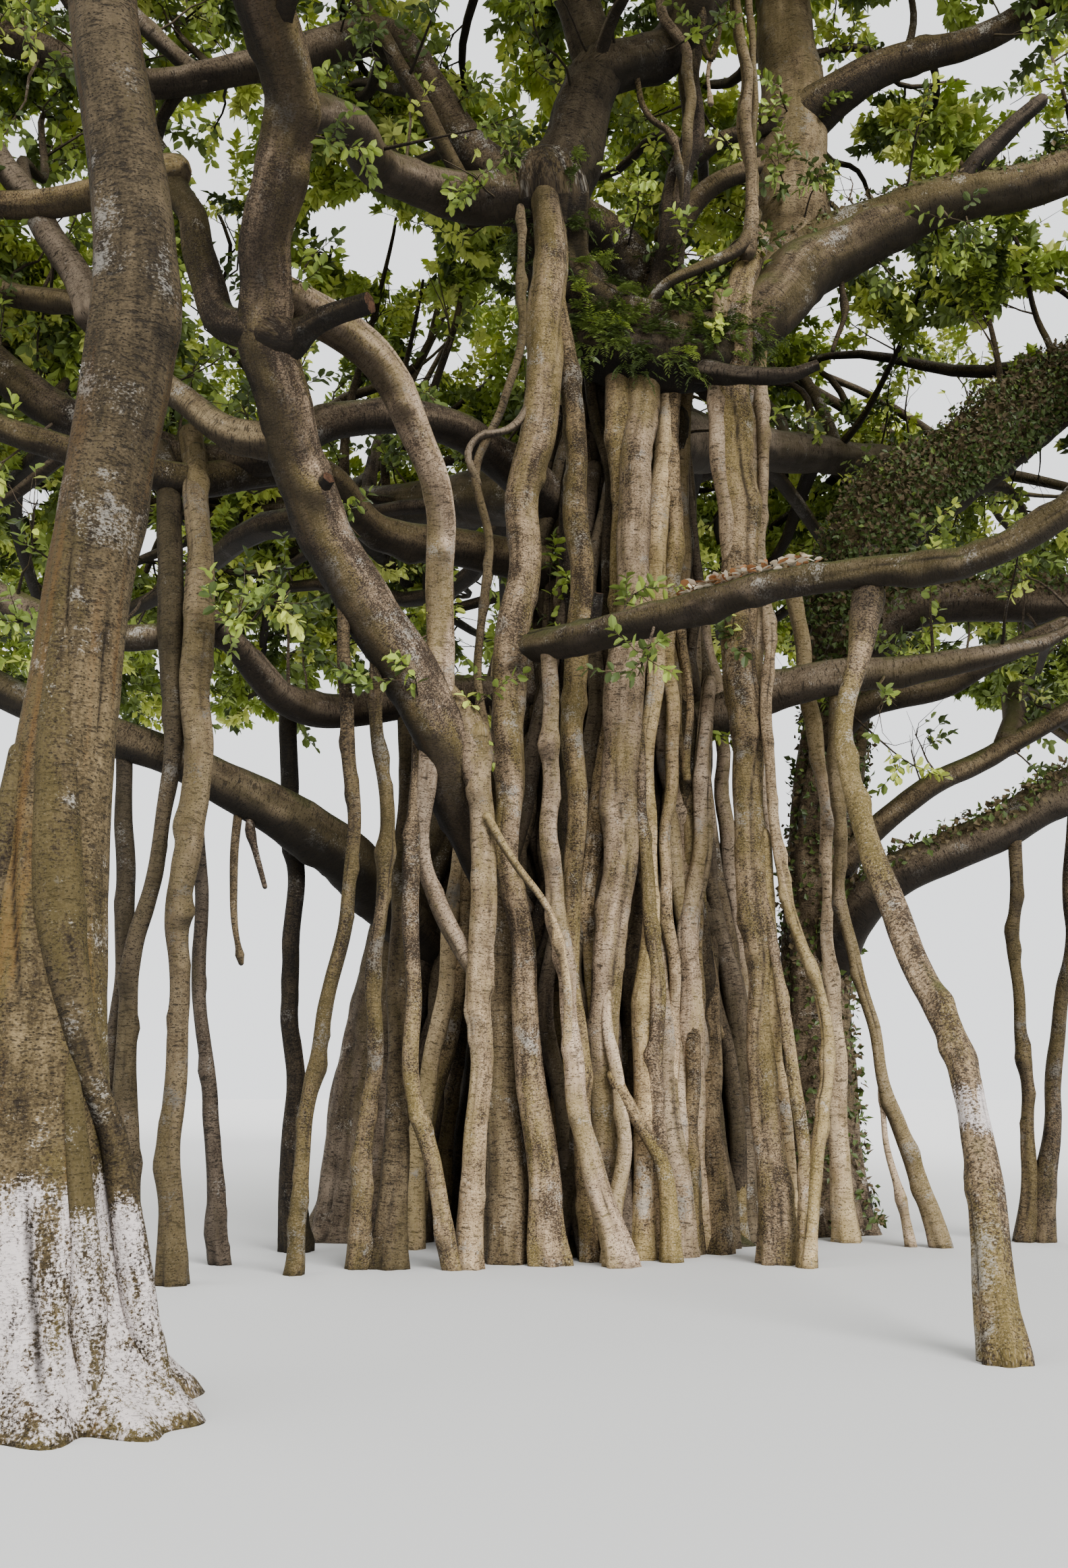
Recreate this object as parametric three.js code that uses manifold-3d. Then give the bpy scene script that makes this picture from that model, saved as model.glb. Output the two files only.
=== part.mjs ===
// A banyan tree: a core trunk inside a sheaf of pillar roots, boughs that leave it at several
// heights, outlying pillars that prop them, and a wide crown in separate masses of foliage.
//
// Frame: +Z up, +X to the right of the view, +Y away from it. The origin is the middle of the
// core trunk's flat foot. Places and sizes below are in metres, the meshes in millimetres.

import * as THREE from 'three';
import { mergeVertices } from 'three/addons/utils/BufferGeometryUtils.js';
import Module from 'manifold-3d';

const METRE = 1000;
const CLEARANCE = 0.0004; // kept between two pieces that touch
const BURIED = 0.5; // length of a foot below the ground, which the flat cut takes off

const CORE_THICK = 2.1; // core trunk at breast height
const CORE_HEIGHT = 10.3; // its top, under the saddle
const FORK_HEIGHT = 11.7; // the fork that the front pillar carries
const FRONT_PILLAR_THICK = 0.26;
const OUTLYING_THICK = 0.55; // the trunk that stands apart, in front on the left
const OUTLYING_HEIGHT = 12.3;
const CROWN_TOP = 20.5;
const CROWN_HALF_WIDTH = 14;

const LIMB_SIDES = 6;
const RINGS_PER_SPAN = 2;
const AXIS_SAMPLES = 60; // frames along a limb's axis, from which each ring takes the nearest
const FOOT_CROWDING = 1.4; // rings crowd towards a foot by this power
const OUT_OF_ROUND = 0.09; // how far a limb's section strays from a circle, part of its radius
const FLARE_HEIGHT = 0.35; // height over which a foot narrows to its limb
const MASS_DETAIL = 2; // subdivision of a mass of foliage
const MASS_UNEVEN = 0.09; // depth of its swells, part of its half size

// Places where limbs meet.
const FORK = [-0.5, -1.3, FORK_HEIGHT];
const SADDLE_RIGHT = [1.75, -0.7, 10.3];
const CROTCH = [-3.07, -3.75, 8.25];
const ARCH_TOP = [-1.9, -3.15, 8.3];
const ARCHED_BEND = [-2.31, -1.5, 13.6];
const STEM_FORK = [0.1, -1.3, 13.3];
const REAR_STEM_TOP = [3.2, 0.8, 7.0];
const OUTLYING_TOP = [-3.8, -8.6, OUTLYING_HEIGHT];

const BARK = { color: 0x8a7a66, roughness: 0.92, metalness: 0 };
const SHADED_BARK = { color: 0x5d4b3c, roughness: 0.95, metalness: 0 };
const MOSSY_BARK = { color: 0x5f5a3a, roughness: 0.95, metalness: 0 };
const FOLIAGE = { color: 0x4f7a2b, roughness: 0.7, metalness: 0 };

// name: [bark, thicknesses from foot to top, flare of the foot, places from foot to top]
const TRUNKS = {
  trunk_core: [SHADED_BARK, [1.1, 1, 0.86, 0.72, 0.7].map((k) => k * CORE_THICK), 0.5,
    [[0, 0, 0], [0, 0, 3.2], [-0.1, 0, 6.2], [0.15, 0, 8.4], [0.6, -0.1, CORE_HEIGHT]]],
  trunk_rear_left: [SHADED_BARK, [1.05, 0.85, 0.75, 0.6], 0.4,
    [[-2.5, 0.2, 0], [-2.4, 0.1, 2], [-1.9, 0, 4], [-0.9, 0, 5.9]]],
  trunk_rear_right: [SHADED_BARK, [1.05, 0.86, 0.82, 0.8], 0.4,
    [[2.65, 0.9, 0], [2.65, 0.9, 2.2], [2.85, 0.9, 4.6], REAR_STEM_TOP]],
  trunk_outlying: [BARK, [1.75, 1.2, 0.9, 0.95, 0.72, 0.6].map((k) => k * OUTLYING_THICK), 1,
    [[-3.35, -8.6, 0], [-3.45, -8.6, 2], [-3.35, -8.5, 4.5], [-3.15, -8.5, 6.7], [-3.45, -8.5, 8.6],
      OUTLYING_TOP]],
};

const PILLARS = {
  pillar_left_slanting: [BARK, [0.15, 0.13, 0.13], 0.2,
    [[-2.82, -2.95, 0], [-2.78, -2.95, 1.1], [-2.41, -3, 3.4], [-2.5, -3, 6.3]]],
  pillar_left_thin: [BARK, [0.2, 0.15, 0.13, 0.12], 0.3,
    [[-2.28, -2.5, 0], [-2.2, -2.58, 2], [-2.1, -2.65, 3.7], [-2.22, -2.78, 6.05]]],
  pillar_left_rear: [SHADED_BARK, [0.3, 0.2, 0.16, 0.17], 0.3,
    [[-2.02, -2.45, 0], [-1.98, -2.25, 1.8], [-1.98, -2, 3.6], [-2.02, -1.45, 5.6]]],
  pillar_left_front: [BARK, [0.24, 0.2, 0.27, 0.24], 0.2,
    [[-1.25, -2.5, 0], [-1.19, -2.45, 1.8], [-1.14, -2.4, 3], [-1.22, -2.45, 5.1]]],
  pillar_arch: [BARK, [0.26, 0.28, 0.27, 0.33], 0,
    [[-1.6, -2.48, 5.2], [-1.58, -2.65, 6.4], [-1.62, -2.9, 7.3], ARCH_TOP]],
  pillar_front: [BARK, [1.4, 1, 0.95, 1.35, 1.3, 1.8].map((k) => k * FRONT_PILLAR_THICK), 0.2,
    [[-0.5, -2.2, 0], [-0.72, -2.1, 2.3], [-0.93, -2.08, 5], [-0.75, -1.95, 7.5],
      [-0.47, -1.8, 10.2], [-0.5, -1.5, FORK_HEIGHT]]],
  pillar_front_branch: [BARK, [0.18, 0.14, 0.22, 0.26, 0.18], 0.2,
    [[-0.1, -1.95, 0], [-0.25, -2.02, 3], [-0.2, -1.92, 6], [-0.17, -1.8, 8], [-0.4, -1.75, 10.4]]],
  pillar_front_crossing: [BARK, [0.28, 0.17, 0.18, 0.16], 0.3,
    [[0.16, -2.35, 0], [-0.27, -2.32, 1.8], [-0.45, -2.35, 4], [-0.5, -2.62, 5.9]]],
  pillar_middle: [BARK, [0.28, 0.23, 0.33, 0.25, 0.28], 0.2,
    [[0.02, -1.62, 0], [0.06, -1.75, 2], [0.24, -1.75, 4.5], [0.44, -1.6, 7.6],
      [0.62, -1.1, 10]]],
  pillar_middle_right: [BARK, [0.26, 0.2, 0.17, 0.25, 0.22], 0.2,
    [[0.42, -1.75, 0], [0.5, -1.6, 2.7], [0.6, -1.4, 5.3], [0.74, -1.25, 7.9], [0.95, -0.95, 9.95]]],
  pillar_right_inner: [BARK, [0.24, 0.3, 0.25, 0.2], 0.2,
    [[1.08, -1.2, 0], [0.97, -1.15, 2.2], [1.12, -1.1, 4.3], [1.25, -0.95, 5.8]]],
  pillar_right: [BARK, [0.34, 0.29, 0.31, 0.42, 0.44, 0.26], 0.2,
    [[1.7, -2.1, 0], [1.63, -1.8, 2.7], [1.57, -1.6, 5], [1.6, -1.3, 7.8], [1.62, -1.1, 10],
      [2.05, -0.5, 11.7]]],
  pillar_right_wandering: [BARK, [0.13, 0.12, 0.11, 0.1, 0.2], 0.2,
    [[1.92, -2.45, 0], [2.2, -2.1, 2.5], [1.86, -1.9, 3.7], [1.83, -1.6, 6], [2.0, -0.75, 10.4]]],
  pillar_right_thin: [BARK, [0.2, 0.13, 0.13, 0.12], 0.2,
    [[3.6, -0.75, 0], [2.95, -0.75, 2.3], [2.68, -0.75, 4.2], [2.72, -0.85, 6.15]]],
  prop_right_leaning: [BARK, [0.27, 0.23, 0.2, 0.23, 0.22], 0.1,
    [[2.32, -7.2, 0], [2.4, -6.2, 1.9], [2.22, -5.6, 2.75], [1.94, -4.8, 4.5], [2.36, -4.3, 6.2]]],
  pillar_far_right: [BARK, [0.2, 0.14, 0.12, 0.16], 0.5,
    [[4.67, -0.2, 0], [4.74, -0.3, 1.6], [4.69, -0.4, 3.2], [4.67, -0.6, 4.55]]],
  pillar_far_left: [SHADED_BARK, [0.28, 0.18, 0.14, 0.25, 0.24], 0.2,
    [[-4.33, -2.9, 0], [-4.4, -3.1, 2], [-4.12, -3.3, 4], [-4.1, -3.3, 6.2], [-4.4, -2.8, 7.95]]],
  pillar_far_left_stout: [BARK, [0.22, 0.18, 0.25, 0.28, 0.22], 0.3,
    [[-3.77, -3.6, 0], [-3.85, -3.55, 2.2], [-3.78, -3.5, 4.6], [-3.84, -3.4, 6.4],
      [-4.05, -2.85, 7.9]]],
  pillar_back_left: [SHADED_BARK, [0.34, 0.26, 0.28, 0.3], 0.3,
    [[-1.2, 2, 0], [-1.1, 1.7, 2.6], [-0.8, 1.4, 5.2], [-0.3, 0.5, 8]]],
  pillar_back_right: [SHADED_BARK, [0.32, 0.24, 0.26, 0.28], 0.3,
    [[1.1, 2.1, 0], [1, 1.8, 2.5], [0.9, 1.4, 5], [0.5, 0.4, 8.4]]],
};

const BOUGHS = {
  bough_saddle: [SHADED_BARK, [0.85, 0.8, 0.8, 0.85, 0.6], 0,
    [FORK, [-0.3, -1, 10.8], [0.2, -0.85, 10.3], [1, -0.9, 10.05], SADDLE_RIGHT]],
  stem_right: [BARK, [0.5, 0.9, 0.84, 0.72, 0.45], 0,
    [SADDLE_RIGHT, [2.42, -0.1, 11.5], [2.6, 0.15, 13.2], [2.62, 0.35, 15.2], [2.6, 0.5, 17.4]]],
  stem_fork: [SHADED_BARK, [0.8, 0.72, 0.68, 0.62], 0,
    [FORK, [-0.29, -1.3, 12.15], [-0.12, -1.3, 12.75], STEM_FORK]],
  stem_fork_left: [SHADED_BARK, [0.5, 0.45, 0.3], 0,
    [STEM_FORK, [-0.15, -1.35, 14.3], [-1.3, -1, 17]]],
  stem_fork_right: [SHADED_BARK, [0.55, 0.52, 0.3], 0,
    [STEM_FORK, [1.05, -1.1, 13.95], [1.5, -2.2, 16.6]]],
  bough_left_main: [BARK, [0.55, 0.5, 0.5, 0.6, 0.56, 0.54], 0,
    [[-0.7, -0.4, 3.2], [-1.25, -1.6, 4.1], [-1.65, -2.5, 5.2], [-2.25, -2.85, 6.25],
      [-2.85, -3.3, 7.3], CROTCH]],
  bough_left_upper: [BARK, [0.52, 0.42, 0.52, 0.48, 0.4], 0,
    [CROTCH, [-3.18, -4.3, 9.25], [-2.84, -4.9, 10.4], [-3.4, -6.4, 11.6], OUTLYING_TOP]],
  bough_left_arch: [BARK, [0.34, 0.36, 0.35], 0,
    [CROTCH, [-2.5, -3.55, 8.78], ARCH_TOP]],
  bough_left_long: [SHADED_BARK, [0.55, 0.42, 0.35, 0.38, 0.42, 0.35], 0,
    [[-0.2, -0.2, 8.2], [-1.5, -1.4, 8.8], [-2.6, -2.2, 8.6], [-3.5, -2.6, 7.9], [-5.2, -2.6, 8.3],
      [-7.6, -2, 10.2]]],
  bough_left_lower: [SHADED_BARK, [0.45, 0.4, 0.34, 0.22], 0,
    [[-0.5, -0.4, 6], [-1.5, -1, 5.9], [-3, -2.2, 5.45], [-3.74, -3.3, 6.05]]],
  bough_left_lowest: [MOSSY_BARK, [0.62, 0.6, 0.36, 0.3, 0.3], 0,
    [[-1.9, 0, 3.3], [-2.8, -1.7, 4.1], [-3.9, -2.6, 4.7], [-5.4, -3.1, 5.25], [-8.2, -3.2, 6.6]]],
  bough_upper_left: [MOSSY_BARK, [0.65, 0.48, 0.4, 0.32], 0,
    [FORK, [-1.5, -1.5, 11.6], [-2.25, -2.3, 11.4], [-2.5, -3.4, 11.2], [-2.83, -4.8, 10.4]]],
  bough_arched: [SHADED_BARK, [0.6, 0.5, 0.44], 0,
    [FORK, [-1.45, -1.2, 12.35], ARCHED_BEND]],
  bough_arched_outer: [SHADED_BARK, [0.44, 0.34, 0.32, 0.4, 0.35], 0,
    [ARCHED_BEND, [-3.5, -2.1, 12.9], [-4.8, -2.5, 12.3], [-6.2, -3, 12.5], [-8.2, -3.2, 13.4]]],
  bough_right_upper: [SHADED_BARK, [0.6, 0.4, 0.3, 0.25], 0,
    [[2.6, 0.15, 13.5], [3.6, -0.3, 14.05], [5.2, -0.6, 14.45], [7.2, -0.9, 15.6]]],
  bough_right_high: [MOSSY_BARK, [0.8, 0.55, 0.52, 0.42], 0,
    [[2.4, -0.1, 11.55], [3.9, -0.4, 12.05], [5.4, -0.5, 12.4], [8.2, -0.6, 13.2]]],
  bough_front_cut: [MOSSY_BARK, [0.34, 0.38, 0.33, 0.3, 0.26, 0.26, 0.22], 0,
    [[-0.66, -2.42, 6.02], [0, -3.05, 5.96], [1.1, -3.6, 6.14], [2.3, -4.25, 6.2], [3.1, -4.7, 6.16],
      [3.95, -5, 6.55], [7.2, -6.6, 9.8]]],
  bough_ivy: [MOSSY_BARK, [0.82, 0.84, 0.8, 0.6], 0,
    [REAR_STEM_TOP, [3.6, 0.8, 8.3], [5.2, 1.5, 9.7], [7.8, 2.7, 12]]],
  bough_right_mid: [SHADED_BARK, [0.55, 0.48, 0.42, 0.35], 0,
    [[3, 0.8, 6.5], [4, 0.4, 7.3], [5.8, 0.4, 7.4], [8.2, 0.6, 8]]],
  bough_right_low: [SHADED_BARK, [0.5, 0.46, 0.34, 0.12], 0,
    [[0.4, -0.4, 5.2], [1.9, -0.75, 5.95], [3.6, -1, 6.2], [4.75, -1, 6.4]]],
  bough_right_lowest: [SHADED_BARK, [0.5, 0.46, 0.52, 0.45], 0,
    [[2.8, 0.8, 3], [3.3, -0.1, 3.85], [4.7, -0.6, 4.55], [8, -0.8, 6.2]]],
  bough_back_left: [SHADED_BARK, [0.85, 0.6, 0.35], 0,
    [[0, 0.1, 8.7], [-3, 3.6, 9.8], [-6.6, 7, 11]]],
  bough_back_right: [SHADED_BARK, [0.85, 0.6, 0.35], 0,
    [[0.4, 0.1, 9.4], [3, 3.9, 10.8], [6.8, 7, 11.8]]],
};

// name: [middle, half size]
const MASSES = {
  mass_top: [[0.4, 0.6, CROWN_TOP - 2.6], [5, 5, 2.6]],
  mass_upper_left: [[-5.6, 0.6, 15.4], [4.4, 4.8, 3.2]],
  mass_upper_right: [[6.2, 0.4, 16.7], [4.4, 4.8, 3]],
  mass_upper_front: [[0.2, -5.8, 16], [4.8, 4.4, 2.8]],
  mass_upper_back: [[0.4, 6.4, 15], [5.2, 4.6, 3.6]],
  mass_left: [[-9.9, -0.8, 10], [CROWN_HALF_WIDTH - 9.9, 5.2, 4.6]],
  mass_right: [[10, 0, 9.8], [CROWN_HALF_WIDTH - 10, 5.2, 5.2]],
  mass_back: [[0.2, 10, 10.6], [5.4, CROWN_HALF_WIDTH - 10, 4.6]],
  mass_back_left: [[-7.6, 7.4, 10.6], [4.9, 4.9, 4.6]],
  mass_back_right: [[7.9, 7.4, 11], [4.9, 4.9, 4.6]],
  mass_front: [[0.4, -10.4, 13.2], [5.2, CROWN_HALF_WIDTH - 10.4, 2.9]],
  mass_front_left: [[-7.2, -8.4, 12.9], [5, 4.8, 3.2]],
  mass_front_right: [[7.8, -7.8, 11.8], [4.9, 4.8, 3.8]],
};

const wasm = await Module();
wasm.setup();

function place([x, y, z]) {
  return new THREE.Vector3(x, y, z).multiplyScalar(METRE);
}

// The closed solid of a geometry from three.js.
function solidOf(geometry) {
  geometry.deleteAttribute('normal');
  geometry.deleteAttribute('uv');
  const merged = mergeVertices(geometry, 0.01);
  return new wasm.Manifold(new wasm.Mesh({
    numProp: 3,
    vertProperties: merged.getAttribute('position').array,
    triVerts: new Uint32Array(merged.index.array),
  }));
}

// A limb's axis. One that stands on the ground goes on below it, for the flat cut.
function axisOf(places) {
  const points = places.map(place);
  if (points[0].z === 0) {
    const below = points[0].clone().setZ(-BURIED * METRE);
    points.unshift(below);
  }
  return new THREE.CatmullRomCurve3(points, false, 'centripetal');
}

// A cylinder bent along the limb's axis, with a smooth taper, a section that isn't quite round
// and a foot that widens to the ground.
function limbSolid([, thicknesses, flare, places], phase, grow) {
  const axis = axisOf(places);
  const spans = axis.points.length - 1;
  const steps = RINGS_PER_SPAN * spans;
  const frames = axis.computeFrenetFrames(AXIS_SAMPLES);
  const crowding = places[0][2] === 0 ? FOOT_CROWDING : 1;
  const taper = new THREE.SplineCurve(thicknesses.map((d, i) => new THREE.Vector2(i, d)));
  const geometry = new THREE.CylinderGeometry(1, 1, 1, LIMB_SIDES, steps);
  const position = geometry.getAttribute('position');
  const vertex = new THREE.Vector3();
  for (let i = 0; i < position.count; i += 1) {
    vertex.fromBufferAttribute(position, i);
    const t = (vertex.y + 0.5) ** crowding;
    const sample = Math.round(t * AXIS_SAMPLES);
    const middle = axis.getPointAt(t);
    const round = Math.hypot(vertex.x, vertex.z);
    const turn = Math.atan2(vertex.z, vertex.x);
    const foot = flare * Math.exp(-Math.max(middle.z, 0) / (FLARE_HEIGHT * METRE));
    const lobes = Math.sin(2 * turn + phase + 5 * t) + Math.sin(3 * turn - phase);
    const radius = 0.5 * taper.getPoint(t).y * (1 + OUT_OF_ROUND * 0.5 * lobes) * (1 + foot);
    const reach = round * (radius + grow) * METRE;
    const endward = (t === 0 ? -grow : 0) + (t === 1 ? grow : 0);
    vertex.copy(middle)
      .addScaledVector(frames.normals[sample], reach * Math.cos(turn))
      .addScaledVector(frames.binormals[sample], -reach * Math.sin(turn))
      .addScaledVector(frames.tangents[sample], endward * METRE);
    position.setXYZ(i, vertex.x, vertex.y, vertex.z);
  }
  return solidOf(geometry).trimByPlane([0, 0, 1], 0);
}

// An uneven ellipsoid, flatter below than above, with swells that differ from mass to mass.
function massSolid([middle, half], phase, grow) {
  const geometry = new THREE.IcosahedronGeometry(1, MASS_DETAIL);
  const position = geometry.getAttribute('position');
  const vertex = new THREE.Vector3();
  for (let i = 0; i < position.count; i += 1) {
    vertex.fromBufferAttribute(position, i);
    const { x, y, z } = vertex;
    const swells = Math.sin(3.1 * x + phase) * Math.sin(2.7 * y - phase)
      + 0.7 * Math.sin(5.3 * y + 2 * phase) * Math.sin(4.9 * z + x);
    const reach = 1 - MASS_UNEVEN + MASS_UNEVEN * swells;
    const below = z < 0 ? 0.85 : 1;
    vertex.set(
      middle[0] + x * (half[0] * reach + grow),
      middle[1] + y * (half[1] * reach + grow),
      middle[2] + z * (half[2] * reach * below + grow),
    ).multiplyScalar(METRE);
    position.setXYZ(i, vertex.x, vertex.y, vertex.z);
  }
  return solidOf(geometry);
}

function near(a, b) {
  const one = a.boundingBox();
  const other = b.boundingBox();
  return [0, 1, 2].every((k) => one.min[k] < other.max[k] && other.min[k] < one.max[k]);
}

function largest(solid) {
  return solid.decompose().reduce((a, b) => (b.volume() > a.volume() ? b : a));
}

// The mesh of a solid, placed at the point that it starts from.
function meshOf(name, solid, start, finish) {
  const { vertProperties, triVerts } = solid.getMesh();
  const geometry = new THREE.BufferGeometry();
  geometry.setAttribute('position', new THREE.BufferAttribute(vertProperties, 3));
  geometry.setIndex(new THREE.BufferAttribute(triVerts, 1));
  geometry.translate(-start.x, -start.y, -start.z);
  geometry.computeVertexNormals();
  const mesh = new THREE.Mesh(geometry, new THREE.MeshStandardMaterial(finish));
  mesh.name = name;
  mesh.position.copy(start);
  return mesh;
}

const built = []; // the solids so far, each wider by the clearance

// One piece, cut clear of the pieces built before it.
function piece(name, make, start, finish) {
  const phase = 1.7 * built.length;
  let solid = make(phase, 0);
  const wide = make(phase, CLEARANCE);
  for (const other of built) {
    if (near(solid, other)) solid = solid.subtract(other);
  }
  built.push(wide);
  return meshOf(name, largest(solid), place(start), finish);
}

function limbs(title, table) {
  const group = new THREE.Group();
  group.name = title;
  for (const [name, limb] of Object.entries(table)) {
    group.add(piece(name, (phase, grow) => limbSolid(limb, phase, grow), limb[3][0], limb[0]));
  }
  return group;
}

function foliage() {
  const group = new THREE.Group();
  group.name = 'foliage';
  for (const [name, mass] of Object.entries(MASSES)) {
    group.add(piece(name, (phase, grow) => massSolid(mass, phase, grow), mass[0], FOLIAGE));
  }
  return group;
}

const banyan = new THREE.Group();
banyan.name = 'banyan';
banyan.add(foliage());
banyan.add(limbs('trunks', TRUNKS));
banyan.add(limbs('boughs', BOUGHS));
banyan.add(limbs('pillars', PILLARS));

export default banyan;
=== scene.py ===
"""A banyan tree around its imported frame: bark surfaces, roots, twigs and leaves, on a plain stage."""

import math
import zlib

import bpy
import numpy as np
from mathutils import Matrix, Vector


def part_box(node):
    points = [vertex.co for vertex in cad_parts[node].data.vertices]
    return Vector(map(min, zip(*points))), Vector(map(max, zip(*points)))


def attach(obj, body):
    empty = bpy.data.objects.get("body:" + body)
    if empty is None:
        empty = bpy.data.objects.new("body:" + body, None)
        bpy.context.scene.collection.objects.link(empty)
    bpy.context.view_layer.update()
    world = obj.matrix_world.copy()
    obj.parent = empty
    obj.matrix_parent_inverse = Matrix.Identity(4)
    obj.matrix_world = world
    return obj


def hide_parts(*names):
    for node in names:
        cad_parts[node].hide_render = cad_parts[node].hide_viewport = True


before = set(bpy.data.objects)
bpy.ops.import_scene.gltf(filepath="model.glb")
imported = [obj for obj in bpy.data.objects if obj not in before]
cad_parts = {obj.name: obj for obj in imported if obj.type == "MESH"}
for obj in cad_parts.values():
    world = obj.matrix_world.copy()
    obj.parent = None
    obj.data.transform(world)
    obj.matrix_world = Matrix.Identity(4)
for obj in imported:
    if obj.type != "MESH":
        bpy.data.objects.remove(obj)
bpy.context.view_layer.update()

bl_info = {
    "name": "Banyan tree",
    "version": (1, 0, 0),
    "blender": (4, 5, 0),
    "location": "View3D > Sidebar > Banyan",
    "description": "Builds the bark, roots, twigs and leaves of a banyan tree around its frame",
    "category": "Add Mesh",
}

BARK = "bark"
# A darker copy of the bark for limbs that stand in shade: painted shade, and partly darker damp bark
SHADED = "shaded_bark"
MOSSY = "mossy_bark"
WEATHERED = "weathered_bark"
UP = np.array([0.0, 0.0, 1.0])
GOLDEN_ANGLE = 2.4  # radians from one leaf or branch to the next
LEAF_TINTS = 5
CREEPER_TINTS = 4
DRY_ROUGHNESS = 0.7
# The rings of an end: share of the last ring's radius, and distance past it, in radii
SAWN_END = ((0.97, 0.06), (0.88, 0.09), (0.5, 0.07))
DOMED_END = ((0.95, 0.35), (0.8, 0.75), (0.45, 1.1))
# Painted shade where limbs stand under the crown or the saddle: heights from and to, and the share of
# brightness lost
CROWN_SHADE = (1.5, 4.5, 0.25)
SADDLE_SHADE = (8.6, 9.7, 0.6)

FORK = (-0.5, -1.3, 11.7)
SADDLE_RIGHT = (1.75, -0.7, 10.3)
CROTCH = (-3.07, -3.75, 8.25)
ARCH_TOP = (-1.9, -3.15, 8.3)
ARCHED_BEND = (-2.31, -1.5, 13.6)
STEM_FORK = (0.1, -1.3, 13.3)
REAR_STEM_TOP = (3.2, 0.8, 7.0)
OUTLYING_TOP = (-3.8, -8.6, 12.3)

# name: (finish, thicknesses from foot to top, widening of the foot, places on the axis), in metres
TRUNKS = {
    "trunk_core": (SHADED, (2.3, 2.1, 1.8, 1.5, 1.45), 0.5, (
        (0, 0, 0), (0, 0, 3.2), (-0.1, 0, 6.2), (0.15, 0, 8.4), (0.6, -0.1, 10.3))),
    "trunk_rear_left": (SHADED, (1.05, 0.85, 0.75, 0.6), 0.4, (
        (-2.5, 0.2, 0), (-2.4, 0.1, 2), (-1.9, 0, 4), (-0.9, 0, 5.9))),
    "trunk_rear_right": (SHADED, (1.05, 0.86, 0.82, 0.8), 0.4, (
        (2.65, 0.9, 0), (2.65, 0.9, 2.2), (2.85, 0.9, 4.6), REAR_STEM_TOP)),
    "trunk_outlying": (WEATHERED, (1.0, 0.84, 0.62, 0.5, 0.55, 0.47, 0.41, 0.37, 0.33), 0.5, (
        (-3.35, -8.6, 0), (-3.45, -8.6, 2), (-3.35, -8.5, 4.5), (-3.15, -8.5, 6.7), (-3.45, -8.5, 8.6),
        OUTLYING_TOP)),
}

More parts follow.
